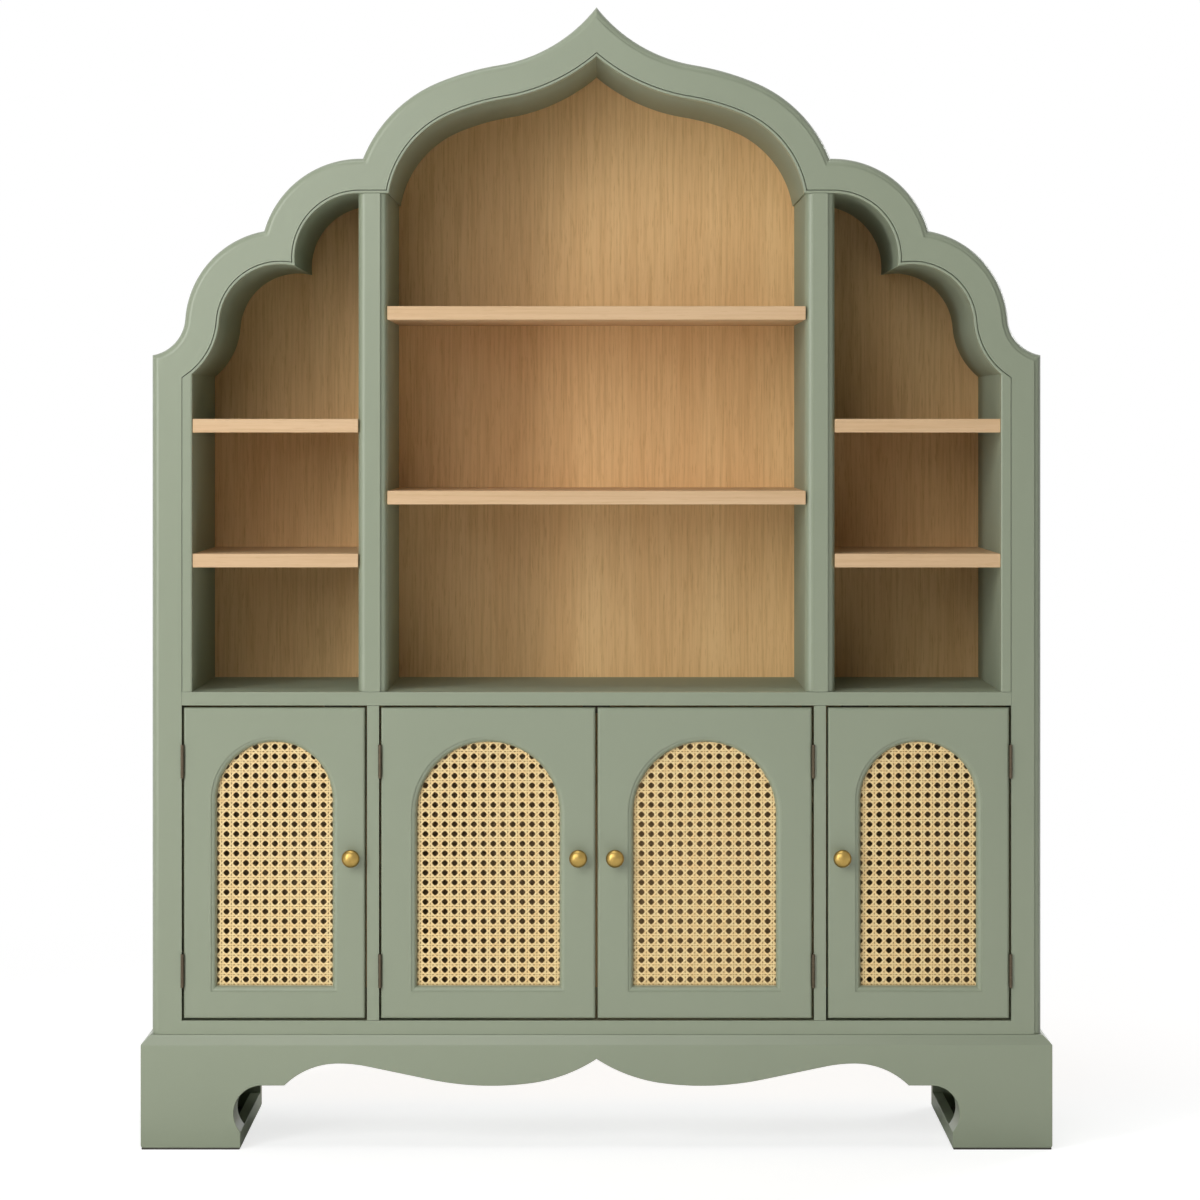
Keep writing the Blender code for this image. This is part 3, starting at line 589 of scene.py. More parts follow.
def skin(mesh: BMesh, rings: Sequence[Sequence[Vector]], closed: bool = False) -> None:
    """Solid through rings of equal count.

    Args:
        mesh: Mesh that gets the solid.
        rings: Rings of places, in order.
        closed: True joins the last ring to the first, False closes both ends with a face.
    """
    loops = [loop(mesh, ring) for ring in parted(rings)]
    pairs = list(zip(loops, loops[1:]))
    if closed:
        pairs.append((loops[-1], loops[0]))
    for near, far in pairs:
        bmesh.ops.bridge_loops(mesh, edges=near + far)
    if not closed:
        for end in (loops[0], loops[-1]):
            bmesh.ops.contextual_create(mesh, geom=end)
    face_outwards(mesh)


def prism(places: Sequence[Vector], along: Vector) -> BMesh:
    """Solid from a flat outline.

    Args:
        places: Corners of the outline.
        along: Extrusion of the outline.

    Returns:
        The new mesh.
    """
    mesh = bmesh.new()
    face = mesh.faces.new([mesh.verts.new(place) for place in places])
    grown = bmesh.ops.extrude_face_region(mesh, geom=[face])
    verts = [item for item in grown["geom"] if isinstance(item, BMVert)]
    bmesh.ops.translate(mesh, vec=along, verts=verts)
    face_outwards(mesh)
    return mesh


def ease(mesh: BMesh, width: float, test: Callable[[BMEdge], bool] | None = None, segments: int = 2) -> BMesh:
    """Round the sharp edges of a mesh.

    Args:
        mesh: Mesh to work on.
        width: Width of the rounding.
        test: Picks the edges; all sharp edges without it.
        segments: Steps of the rounding.

    Returns:
        The same mesh.
    """
    edges = [edge for edge in mesh.edges if edge.is_manifold and edge.calc_face_angle() > EASED_EDGE]
    if test is not None:
        edges = [edge for edge in edges if test(edge)]
    bmesh.ops.bevel(mesh, geom=edges, offset=width, segments=segments, profile=0.5, affect="EDGES",
                    material=-1, clamp_overlap=True)
    return mesh


def block(low: Vector, high: Vector, rounding: float) -> BMesh:
    """Box between two corners with eased edges.

    Args:
        low: Lowest corner.
        high: Highest corner.
        rounding: Width of the rounding.

    Returns:
        The new mesh.
    """
    mesh = bmesh.new()
    bmesh.ops.create_cube(mesh, size=1.0)
    bmesh.ops.scale(mesh, vec=high - low, verts=mesh.verts)
    bmesh.ops.translate(mesh, vec=(low + high) / 2.0, verts=mesh.verts)
    return ease(mesh, rounding)


def board(node: str, rounding: float) -> BMesh:
    """Box of a CAD node's size with eased edges."""
    low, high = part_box(node)
    return block(low, high, rounding)


def turned(profile: Sequence[Point], steps: int) -> BMesh:
    """Solid turned about Z from a profile that starts and ends on the axis.

    Args:
        profile: Points as (radius, height).
        steps: Facets round the axis.

    Returns:
        The new mesh.
    """
    mesh = bmesh.new()
    verts = [mesh.verts.new((radius, 0.0, height)) for radius, height in profile]
    edges = [mesh.edges.new(pair) for pair in zip(verts, verts[1:])]
    bmesh.ops.spin(mesh, geom=verts + edges, axis=(0.0, 0.0, 1.0), cent=(0.0, 0.0, 0.0),
                   angle=2.0 * math.pi, steps=steps, use_merge=True)
    bmesh.ops.remove_doubles(mesh, verts=mesh.verts, dist=HAIR)
    face_outwards(mesh)
    return mesh


def moved(mesh: BMesh, matrix: Matrix) -> BMesh:
    """Apply a placing to a mesh."""
    bmesh.ops.transform(mesh, matrix=matrix, verts=mesh.verts)
    return mesh


def piece(name: str, mesh: BMesh, finish: Material, body: str, nodes: Sequence[str] = (),
          smooth_angle: float = PLAIN_EDGE) -> Object:
    """Make a finished piece that rides on a body.

    Args:
        name: Name of the piece.
        mesh: Its shape, which is freed.
        finish: Its material.
        body: CAD body that carries it.
        nodes: CAD nodes that it stands for.
        smooth_angle: Edges sharper than this stay sharp, in degrees.

    Returns:
        The new object.
    """
    data = bpy.data.meshes.new(name)
    mesh.to_mesh(data)
    mesh.free()
    data.shade_smooth()
    data.set_sharp_from_angle(angle=math.radians(smooth_angle))
    data.materials.append(finish)
    obj = bpy.data.objects.new(name, data)
    bpy.context.scene.collection.objects.link(obj)
    weighted = obj.modifiers.new("flat_faces", "WEIGHTED_NORMAL")
    weighted.keep_sharp = True
    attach(obj, body)
    if nodes:
        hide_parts(*nodes)
    LOG.info("%s: %d faces on %s", name, len(data.polygons), body)
    return obj


def refinish(node: Object, finish: Material) -> None:
    """Give a CAD node that stays in view its finish."""
    node.data.materials.clear()
    node.data.materials.append(finish)


# Mouldings, as (aside from the sight edge, behind the face) in metres

def ovolo(width: float, quirk: float, steps: int = 6) -> list[Point]:
    """Quarter round set below the face by a small step.

    Args:
        width: Distance from the edge to the step.
        quirk: Depth of the step.
        steps: Facets of the round.

    Returns:
        Points from the face to the edge.
    """
    floor, lip = 0.3 * MM, 0.5 * MM
    radius = width - floor - lip
    points = [(width, 0.0), (width, quirk)]
    for i in range(steps + 1):
        turn = math.radians(90.0 * i / steps)
        points.append((width - floor - radius * math.sin(turn), quirk + radius - radius * math.cos(turn)))
    points.append((0.0, quirk + radius + lip))
    return points


@dataclass(frozen=True)
class HeadCurve:
    """Outline of the arched head and the lines parallel to it."""

    cove_radius: float = 0.0655
    cove_angle: float = 4.0
    lower_lobe: Point = (0.5265, 1.370)
    lower_radius: float = 0.161
    upper_lobe: Point = (0.3945, 1.4825)
    upper_radius: float = 0.167
    crown_radius: float = 0.231
    crown_height: float = 1.5635
    crown_overhang: float = 0.0015
    crown_turn: float = 67.5
    flat_radius: float = 0.459
    ogee_radius: float = 0.260
    apex_slope: float = 52.0
    band: float = 0.053
    groove: float = 0.001
    soffit: float = 0.0045
    cove_steps: int = 12
    lobe_steps: int = 26
    crown_steps: int = 24
    flat_steps: int = 10
    ogee_steps: int = 16

    @property
    def soffit_out(self) -> float:
        """Inset of the soffit's outer side."""
        return self.band + self.groove

    @property
    def soffit_in(self) -> float:
        """Inset of the soffit's inner side."""
        return self.soffit_out + self.soffit

    @property
    def cove(self) -> Point:
        """Centre of the shoulder's cove."""
        return step_from(self.lower_lobe, self.lower_radius + self.cove_radius, self.cove_angle)

    @property
    def crown(self) -> Point:
        """Centre of the crown's round, set so that its soffit springs from the post.

        Returns:
            The centre.
        """
        level_in = self.upper_lobe[1] + self.upper_radius - self.soffit_in
        reach = self.crown_radius - self.soffit_in
        spring = math.sqrt(reach ** 2 - (level_in - self.crown_height) ** 2)
        return (POST_IN - self.crown_overhang - spring, self.crown_height)

    def cove_at(self, inset: float, x: float) -> float:
        """Height of the cove, moved in by inset, at a place x."""
        return self.cove[1] - math.sqrt((self.cove_radius + inset) ** 2 - (x - self.cove[0]) ** 2)

    def valley(self, inset: float) -> Point:
        """Point where the two lobes meet.

        Args:
            inset: Distance inwards from the outer edge.

        Returns:
            The point.
        """
        lower, upper = self.lower_radius - inset, self.upper_radius - inset
        dx, dz = self.upper_lobe[0] - self.lower_lobe[0], self.upper_lobe[1] - self.lower_lobe[1]
        gap = math.hypot(dx, dz)
        along = (gap ** 2 + lower ** 2 - upper ** 2) / (2.0 * gap)
        aside = math.sqrt(lower ** 2 - along ** 2)
        return (self.lower_lobe[0] + (dx * along + dz * aside) / gap,
                self.lower_lobe[1] + (dz * along - dx * aside) / gap)

    def side(self, inset: float, edge_x: float) -> list[Point]:
        """Right side of the head: cove, two lobes and the level run to the crown.

        Args:
            inset: Distance inwards from the outer edge.
            edge_x: Place where the line starts.

        Returns:
            Points from the shoulder to the crown.
        """
        start = (edge_x, self.cove_at(inset, edge_x))
        valley = self.valley(inset)
        upper = self.upper_radius - inset
        level_z = self.upper_lobe[1] + upper
        reach = self.crown_radius - inset
        crown_x = self.crown[0] + math.sqrt(reach ** 2 - (level_z - self.crown[1]) ** 2)
        points = arc(self.cove, self.cove_radius + inset, angle_of(self.cove, start),
                     180.0 + self.cove_angle, self.cove_steps)
        points += arc(self.lower_lobe, self.lower_radius - inset, self.cove_angle,
                      angle_of(self.lower_lobe, valley), self.lobe_steps)[1:]
        points += arc(self.upper_lobe, upper, angle_of(self.upper_lobe, valley), 90.0, self.lobe_steps)[1:]
        return points + [(crown_x, level_z)]

    def top(self, inset: float) -> list[Point]:
        """Right half of the crown, from the level run up to the apex.

        Args:
            inset: Distance inwards from the outer edge.

        Returns:
            The points.
        """
        reach = self.crown_radius - inset
        level_z = self.upper_lobe[1] + self.upper_radius - inset
        spring = math.degrees(math.asin((level_z - self.crown[1]) / reach))
        flat = step_from(self.crown, self.crown_radius - self.flat_radius, self.crown_turn)
        ogee_x = self.ogee_radius * math.sin(math.radians(self.apex_slope))
        between = self.flat_radius + self.ogee_radius
        turn = math.degrees(math.acos((ogee_x - flat[0]) / between))
        ogee = step_from(flat, between, turn)
        apex = 180.0 + math.degrees(math.acos(ogee[0] / (self.ogee_radius + inset)))
        points = arc(self.crown, reach, spring, self.crown_turn, self.crown_steps)
        points += arc(flat, self.flat_radius - inset, self.crown_turn, turn, self.flat_steps)[1:]
        points += arc(ogee, self.ogee_radius + inset, 180.0 + turn, apex, self.ogee_steps)[1:]
        return points

    def whole(self, inset: float, edge_x: float) -> list[Point]:
        """The head's outline from the right shoulder over the apex to the left one."""
        return across(self.side(inset, edge_x) + self.top(inset)[1:])


# Sub-assemblies

@dataclass
class Head:
    """Arch board with its moulded edge, roof skin, linings and centre soffit."""

    curve: HeadCurve
    edge_width: float = 0.012
    edge_quirk: float = 0.0026
    inner_ease: float = 0.0005
    roof_t: float = 0.009
    bead_round: float = 0.0021
    bead_steps: int = 4
    liner_round: float = 0.0042

    def band_ring(self, outer: float, inner: float) -> list[Point]:
        """Outline of the arch board with its edges moved in.

        Args:
            outer: Inset of the outer edge.
            inner: Inset of the inner edge.

        Returns:
            The points.
        """
        far = self.curve.whole(outer, HALF - outer)
        near = self.curve.whole(inner, STILE_IN)
        foot = self.curve.cove_at(self.curve.band, STILE_IN)
        near[0] = (STILE_IN, foot)
        near[-1] = (-STILE_IN, foot)
        return [(HALF - outer, foot)] + far + [(outer - HALF, foot)] + list(reversed(near))

    def arch(self) -> BMesh:
        """Arch board: rings from the back to the moulded front edge.

        Returns:
            The new mesh.
        """
        band = self.curve.band
        rings = [upright(self.band_ring(0.0, band), FACE_BACK)]
        for aside, behind in reversed(ovolo(self.edge_width, self.edge_quirk)):
            rings.append(upright(self.band_ring(aside, band), FRONT + max(behind, self.inner_ease)))
        rings[-1] = upright(self.band_ring(self.edge_width, band - self.inner_ease), FRONT)
        mesh = bmesh.new()
        skin(mesh, rings)
        return mesh

    def roof(self) -> BMesh:
        """Roof skin from the arch board to the back.

        Returns:
            The new mesh.
        """
        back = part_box("roof")[1].y
        outline = self.curve.whole(0.0, HALF) + list(reversed(self.curve.whole(self.roof_t, HALF)))
        return prism(upright(outline, FACE_BACK), Vector((0.0, back - FACE_BACK, 0.0)))

    def lining_ring(self, share: float) -> list[Point]:
        """Outline of the right lining.

        Args:
            share: Share of the rounding that its front edges have lost.

        Returns:
            The points.
        """
        near = self.curve.soffit_in - self.bead_round * share
        liner_in = LINER_IN + self.liner_round * share
        outer = self.curve.side(self.curve.soffit_out, LINER_OUT)
        inner = self.curve.side(near, liner_in)
        for line in (outer, inner):
            x, z = line[-1]
            line[-1] = (x + FIT, z)
        return [(LINER_OUT, DECK_TOP)] + outer + list(reversed(inner)) + [(liner_in, DECK_TOP)]

    def soffit_ring(self, share: float) -> list[Point]:
        """Outline of the centre soffit with its front edge rounded by a share of its rounding."""
        near = self.curve.soffit_in - self.bead_round * share
        return across(self.curve.top(self.curve.soffit_out)) + list(reversed(across(self.curve.top(near))))

    def rounded(self, ring: Callable[[float], list[Point]], side: Side) -> BMesh:
        """Solid from a ring whose front edges are rounded.

        Args:
            ring: Outline by the share of the rounding.
            side: Half of the unit.

        Returns:
            The new mesh.
        """
        rings = []
        for i in range(self.bead_steps + 1):
            turn = math.radians(90.0 * i / self.bead_steps)
            depth = FRONT + self.bead_round * (1.0 - math.sin(turn))
            rings.append(upright(sided(ring(1.0 - math.cos(turn)), side), depth))
        rings.insert(0, upright(sided(ring(0.0), side), INSIDE_BACK))
        mesh = bmesh.new()
        skin(mesh, rings)
        return mesh

    def build(self, palette: Palette) -> None:
        """Build and dress the head.

        Args:
            palette: Finishes.
        """
        piece("painted_arch", self.arch(), palette.paint, "root", ["arch_front"], MOULDED_EDGE)
        piece("painted_roof", self.roof(), palette.paint, "root", ["roof"])
        for side in Side:
            piece(f"painted_lining_{side.label}", self.rounded(self.lining_ring, side), palette.inner_paint,
                  "root", [f"lining_{side.label}"])
        piece("painted_soffit", self.rounded(self.soffit_ring, Side.RIGHT), palette.inner_paint, "root",
              ["soffit_centre"])


@dataclass
class Plinth:
    """Plinth with a scalloped apron, bracket feet and foot runners."""

    half: float = 0.758
    front: float = -0.1855
    thick: float = 0.025
    height: float = 0.189
    step: float = 0.0165
    foot_in: float = 0.592
    foot_corner: float = 0.004
    corner_steps: int = 4
    rear_clear: float = 0.095
    scoop_radius: float = 0.0465
    scoop_overhang: float = 0.035
    scoop_top: float = 0.1065
    notch_reach: float = 0.038
    crest_radius: float = 0.128
    crest_top: float = 0.143
    crest_inner_radius: float = 0.240
    bowl_radius: float = 0.506
    bowl_x: float = 0.175
    bowl_low: float = 0.106
    bowl_angle: float = 12.0
    cusp_radius: float = 0.264
    cusp_angle: float = 262.6
    steps: int = 22
    rounding: float = 0.0016
    ledge: float = 0.0015
    ledge_ease: float = 0.0009
    softening: float = 0.001
    soft_steps: int = 5
    board_ease: float = 0.0008
    rear_ease: float = 0.001
    pad: float = 0.003
    pad_inset: float = 0.0015
    pad_ease: float = 0.0004
    block_depth: float = 0.070
    block_angle: float = 40.0
    runner_height: float = 0.029

    @property
    def scoop(self) -> Point:
        """Centre of the bite that is cut out of the foot."""
        return (self.foot_in - self.scoop_overhang, self.scoop_top - self.scoop_radius)

    @property
    def scoop_end(self) -> float:
        """Angle at which the bite meets the foot's inner edge, in degrees."""
        return -math.degrees(math.acos(self.scoop_overhang / self.scoop_radius))

    @property
    def chamfer(self) -> float:
        """Height at which the chamfered top begins."""
        return self.height - self.step + self.ledge

    @property
    def inner(self) -> float:
        """Inner side of the end boards."""
        return self.half - self.thick

    @property
    def behind(self) -> float:
        """Back of the front board."""
        return self.front + self.thick

    def apron(self) -> list[Point]:
        """Right half of the lower edge, from the cusp in the middle to the foot.

        Returns:
            The points.
        """
        bowl = (self.bowl_x, self.bowl_low + self.bowl_radius)
        cusp = step_from(bowl, self.bowl_radius - self.cusp_radius, self.cusp_angle)
        cusp_start = 270.0 - math.degrees(math.asin(cusp[0] / self.cusp_radius))
        notch_x = self.scoop[0] - self.notch_reach
        crest_z = self.crest_top - self.crest_radius
        crest = (notch_x - math.sqrt(self.crest_radius ** 2 - (self.scoop_top - crest_z) ** 2), crest_z)
        inner = (crest[0], self.crest_top - self.crest_inner_radius)
        points = arc(cusp, self.cusp_radius, cusp_start, self.cusp_angle, self.steps)
        points += arc(bowl, self.bowl_radius, self.cusp_angle, 270.0 + self.bowl_angle, self.steps)[1:]
        points += arc(inner, self.crest_inner_radius, 90.0 + self.bowl_angle, 90.0, self.steps // 2)
        notch_angle = angle_of(crest, (notch_x, self.scoop_top))
        points += arc(crest, self.crest_radius, 90.0, notch_angle, self.steps)[1:]
        return points + arc(self.scoop, self.scoop_radius, 90.0, self.scoop_end, self.steps)

    def softened(self, mesh: BMesh) -> BMesh:
        """Round the lower edges of the chamfer in many steps, so that it flows into the face.

        Args:
            mesh: Board with the chamfer.

        Returns:
            The same mesh.
        """
        def lower(edge: BMEdge) -> bool:
            """Whether an edge lies at the foot of the chamfer."""
            return all(abs(vert.co.z - self.chamfer) < HAIR for vert in edge.verts)

        return ease(mesh, self.softening, lower, self.soft_steps)

    def front_board(self) -> BMesh:
        """Front board: cut to its outline, chamfered below a small ledge along the top and eased.

        Returns:
            The new mesh.
        """
        foot = self.apron() + [(self.foot_in, self.pad)]
        corner = (self.half - self.foot_corner, self.pad + self.foot_corner)
        foot += arc(corner, self.foot_corner, 270.0, 360.0, self.corner_steps)
        top = [(self.half, self.chamfer), (HALF + self.ledge, self.height)]
        mesh = prism(upright(across(list(reversed(foot + top))), self.front), Vector((0.0, self.thick, 0.0)))
        geometry = mesh.verts[:] + mesh.edges[:] + mesh.faces[:]
        cut = bmesh.ops.bisect_plane(mesh, geom=geometry, dist=0.001 * MM, clear_outer=True,
                                     plane_co=(0.0, self.front, self.chamfer), plane_no=(0.0, -1.0, 1.0))
        edges = [item for item in cut["geom_cut"] if isinstance(item, BMEdge)]
        bmesh.ops.edgeloop_fill(mesh, edges=edges)
        face_outwards(mesh)

        def ledge(edge: BMEdge) -> bool:
            """Whether an edge lies along the ledge."""
            return all(vert.co.z > self.height - NEAR and vert.co.y < FRONT for vert in edge.verts)

        def face(edge: BMEdge) -> bool:
            """Whether an edge lies in the front face."""
            return all(vert.co.y < self.front + NEAR for vert in edge.verts)

        ease(mesh, self.ledge_ease, ledge)
        self.softened(mesh)
        return ease(mesh, self.rounding, face)

    def end_board(self, side: Side) -> BMesh:
        """Side board with its chamfered top.

        Args:
            side: Half of the unit.

        Returns:
            The new mesh.
        """
        start, end = self.behind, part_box(f"plinth_{side.label}")[1].y
        outline = [(self.inner, self.pad), (self.half, self.pad), (self.half, self.chamfer),
                   (HALF + self.ledge, self.height), (self.inner, self.height)]
        mesh = self.softened(prism(upright(sided(outline, side), start), Vector((0.0, end - start, 0.0))))
        return ease(mesh, self.board_ease, lambda edge: any(vert.co.y > start for vert in edge.verts))

    def rear_board(self) -> BMesh:
        """Rear board with its two feet.

        Returns:
            The new mesh.
        """
        low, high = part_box("plinth_back")
        half = [(high.x, self.height), (high.x, self.pad), (self.foot_in, self.pad),
                (self.foot_in, self.rear_clear)]
        mesh = prism(upright(half + mirrored(half), low.y), Vector((0.0, high.y - low.y, 0.0)))
        return ease(mesh, self.rear_ease)

    def foot_block(self, side: Side) -> BMesh:
        """Corner block behind a front foot, with the same bite cut out of it.

        Args:
            side: Half of the unit.

        Returns:
            The new mesh.
        """
        points = arc(self.scoop, self.scoop_radius, self.block_angle, self.scoop_end, self.steps)
        points += [(self.foot_in, self.pad), (self.inner, self.pad), (self.inner, points[0][1])]
        places = upright(sided(points, side), self.behind)
        mesh = prism(places, Vector((0.0, self.block_depth - self.thick, 0.0)))
        limit = self.behind + NEAR
        return ease(mesh, self.board_ease, lambda edge: all(vert.co.y > limit for vert in edge.verts))

    def runner(self, side: Side) -> BMesh:
        """Low rail from the corner block to the rear foot."""
        low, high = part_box(f"foot_runner_{side.label}")
        return block(Vector((low.x, self.front + self.block_depth, self.pad)),
                     Vector((high.x, high.y, self.runner_height)), self.board_ease)

    def foot_pad(self, side: Side) -> BMesh:
        """Thin pad under one end of the plinth, set in from its edges. Being dark, it is painted shade under
        the feet, and it covers the floor inside the foot channel, which would otherwise show pale.

        Args:
            side: Half of the unit.

        Returns:
            The new mesh.
        """
        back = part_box(f"plinth_{side.label}")[1].y
        ends = (self.foot_in + self.pad_inset, self.half - self.pad_inset)
        near, far = sorted(side.value * end for end in ends)
        return block(Vector((near, self.front + self.pad_inset, 0.0)),
                     Vector((far, back - self.pad_inset, self.pad)), self.pad_ease)

    def build(self, palette: Palette) -> None:
        """Build and dress the plinth.

        Args:
            palette: Finishes.
        """
        piece("painted_apron", self.front_board(), palette.paint, "root", ["plinth_front"])
        piece("painted_rear_plinth", self.rear_board(), palette.paint, "root", ["plinth_back"])
        for side in Side:
            label = side.label
            piece(f"painted_plinth_{label}", self.end_board(side), palette.paint, "root",
                  [f"plinth_{label}"])
            piece(f"painted_runner_{label}", self.runner(side), palette.paint, "root",
                  [f"foot_runner_{label}"])
            piece(f"painted_foot_block_{label}", self.foot_block(side), palette.paint, "root")
            # Dark pad under each end: painted shade below the feet, which also hides the floor in the foot
            # channel
            piece(f"moulded_foot_pad_{label}", self.foot_pad(side), palette.rubber, "root")


@dataclass
class Carcass:
    """Floor, deck, side panels, moulded stiles, lower partitions and backs."""

    curve: HeadCurve
    roof_t: float = 0.009
    edge_width: float = 0.012
    edge_quirk: float = 0.0026
    side_in: float = 0.7232
    front_ease: float = 0.0012
    panel_ease: float = 0.0006
    mullion_ease: float = 0.0003

    def notched(self, node: str, eased_below: bool) -> BMesh:
        """Level board whose front corners are notched round the stiles.

        Args:
            node: CAD node of the board.
            eased_below: True eases all front edges, False the upper one alone.

        Returns:
            The new mesh.
        """
        low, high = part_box(node)
        behind = FACE_BACK + FIT
        half = [(self.side_in, INSIDE_BACK), (self.side_in, behind), (STILE_IN, behind), (STILE_IN, FRONT)]
        mesh = prism(level(half + mirrored(half), low.z), Vector((0.0, 0.0, high.z - low.z)))
        lowest = low.z - MM if eased_below else low.z + MM

        def front(edge: BMEdge) -> bool:
            """Whether an edge lies along the front, above the lowest height that is eased."""
            return all(vert.co.y < FRONT + NEAR and vert.co.z > lowest for vert in edge.verts)

        return ease(mesh, self.front_ease, front)

    def side_panel(self, side: Side) -> BMesh:
        """Side panel, cut along its top to the underside of the roof.

        Args:
            side: Half of the unit.

        Returns:
            The new mesh.
        """
        low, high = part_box(f"side_panel_{side.label}")
        inner = HALF - (high.x - low.x)
        top = [(x, self.curve.cove_at(self.roof_t, x) - FIT) for x in (HALF, (HALF + inner) / 2.0, inner)]
        outline = sided([(inner, low.z), (HALF, low.z)] + top, side)
        mesh = prism(upright(outline, low.y), Vector((0.0, high.y - low.y, 0.0)))
        return ease(mesh, self.panel_ease)

    def stile(self, side: Side) -> BMesh:
        """Stile with a quarter round below a small step along its outer edge.

        Args:
            side: Half of the unit.

        Returns:
            The new mesh.
        """
        low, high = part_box(f"stile_{side.label}")
        plan = [(STILE_IN, FACE_BACK), (HALF, FACE_BACK)]
        rounded = reversed(ovolo(self.edge_width, self.edge_quirk))
        plan += [(HALF - aside, FRONT + behind) for aside, behind in rounded]
        plan.append((STILE_IN, FRONT))
        foot = level(sided(plan, side), low.z)
        return prism(foot, Vector((0.0, 0.0, high.z + FIT - low.z)))

    def build(self, palette: Palette, nodes: dict[str, Object]) -> None:
        """Build and dress the carcass.

        Args:
            palette: Finishes.
            nodes: CAD nodes by name, of which the flat backs are kept.
        """
        piece("painted_deck", self.notched("deck", True), palette.inner_paint, "root", ["deck"])
        piece("painted_floor", self.notched("cabinet_floor", False), palette.paint, "root",
              ["cabinet_floor"])
        for side in Side:
            label = side.label
            piece(f"painted_stile_{label}", self.stile(side), palette.paint, "root",
                  [f"stile_{label}"], MOULDED_EDGE)
            piece(f"painted_side_{label}", self.side_panel(side), palette.paint, "root",
                  [f"side_panel_{label}"])
            mullion = f"lower_partition_{label}"
            piece(f"painted_mullion_{label}", board(mullion, self.mullion_ease), palette.paint, "root",
                  [mullion])
        for node, finish in (("back_panel_upper", palette.oak_upright), ("back_panel_lower", palette.ply)):
            refinish(nodes[node], finish)


@dataclass
class UpperBays:
    """Moulded posts and oak shelves."""

    post_in: float = 0.349
    edge_width: float = 0.012
    edge_quirk: float = 0.0042
    setback: float = 0.003
    shelf_ease: float = 0.0014

    def post_edge(self) -> list[Point]:
        """Right half of a post's plan about its middle: side, quarter round, small step and flat.

        Returns:
            The points.
        """
        half = (POST_OUT - self.post_in) / 2.0
        points = [(half, INSIDE_BACK)]
        rounded = reversed(ovolo(self.edge_width, self.edge_quirk))
        return points + [(half - aside, FRONT + behind) for aside, behind in rounded]

    def post(self, side: Side) -> BMesh:
        """Post from the deck to the head.

        Args:
            side: Half of the unit.

        Returns:
            The new mesh.
        """
        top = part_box(f"upper_partition_{side.label}")[1].z + FIT
        middle = side.value * (POST_OUT + self.post_in) / 2.0
        edge = self.post_edge()
        plan = [(x + middle, y) for x, y in edge + mirrored(edge)]
        return prism(level(plan, DECK_TOP), Vector((0.0, 0.0, top - DECK_TOP)))

    def shelf(self, node: str, left: float, right: float) -> BMesh:
        """Shelf between the faces of its bay."""
        low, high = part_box(node)
        return block(Vector((left, FRONT + self.setback, low.z)), Vector((right, high.y, high.z)),
                     self.shelf_ease)

    def build(self, palette: Palette) -> None:
        """Build and dress the bays.

        Args:
            palette: Finishes.
        """
        for side in Side:
            piece(f"painted_post_{side.label}", self.post(side), palette.inner_paint, "root",
                  [f"upper_partition_{side.label}"])
        bays = {
            "centre": (-self.post_in, self.post_in),
            "left": (-LINER_IN, -POST_OUT),
            "right": (POST_OUT, LINER_IN),
        }
        for bay, (left, right) in bays.items():
            for row in ("lower", "upper"):
                node = f"shelf_{bay}_{row}"
                piece(f"oak_{node}", self.shelf(node, left, right), palette.oak_level, "root",
                      [node])


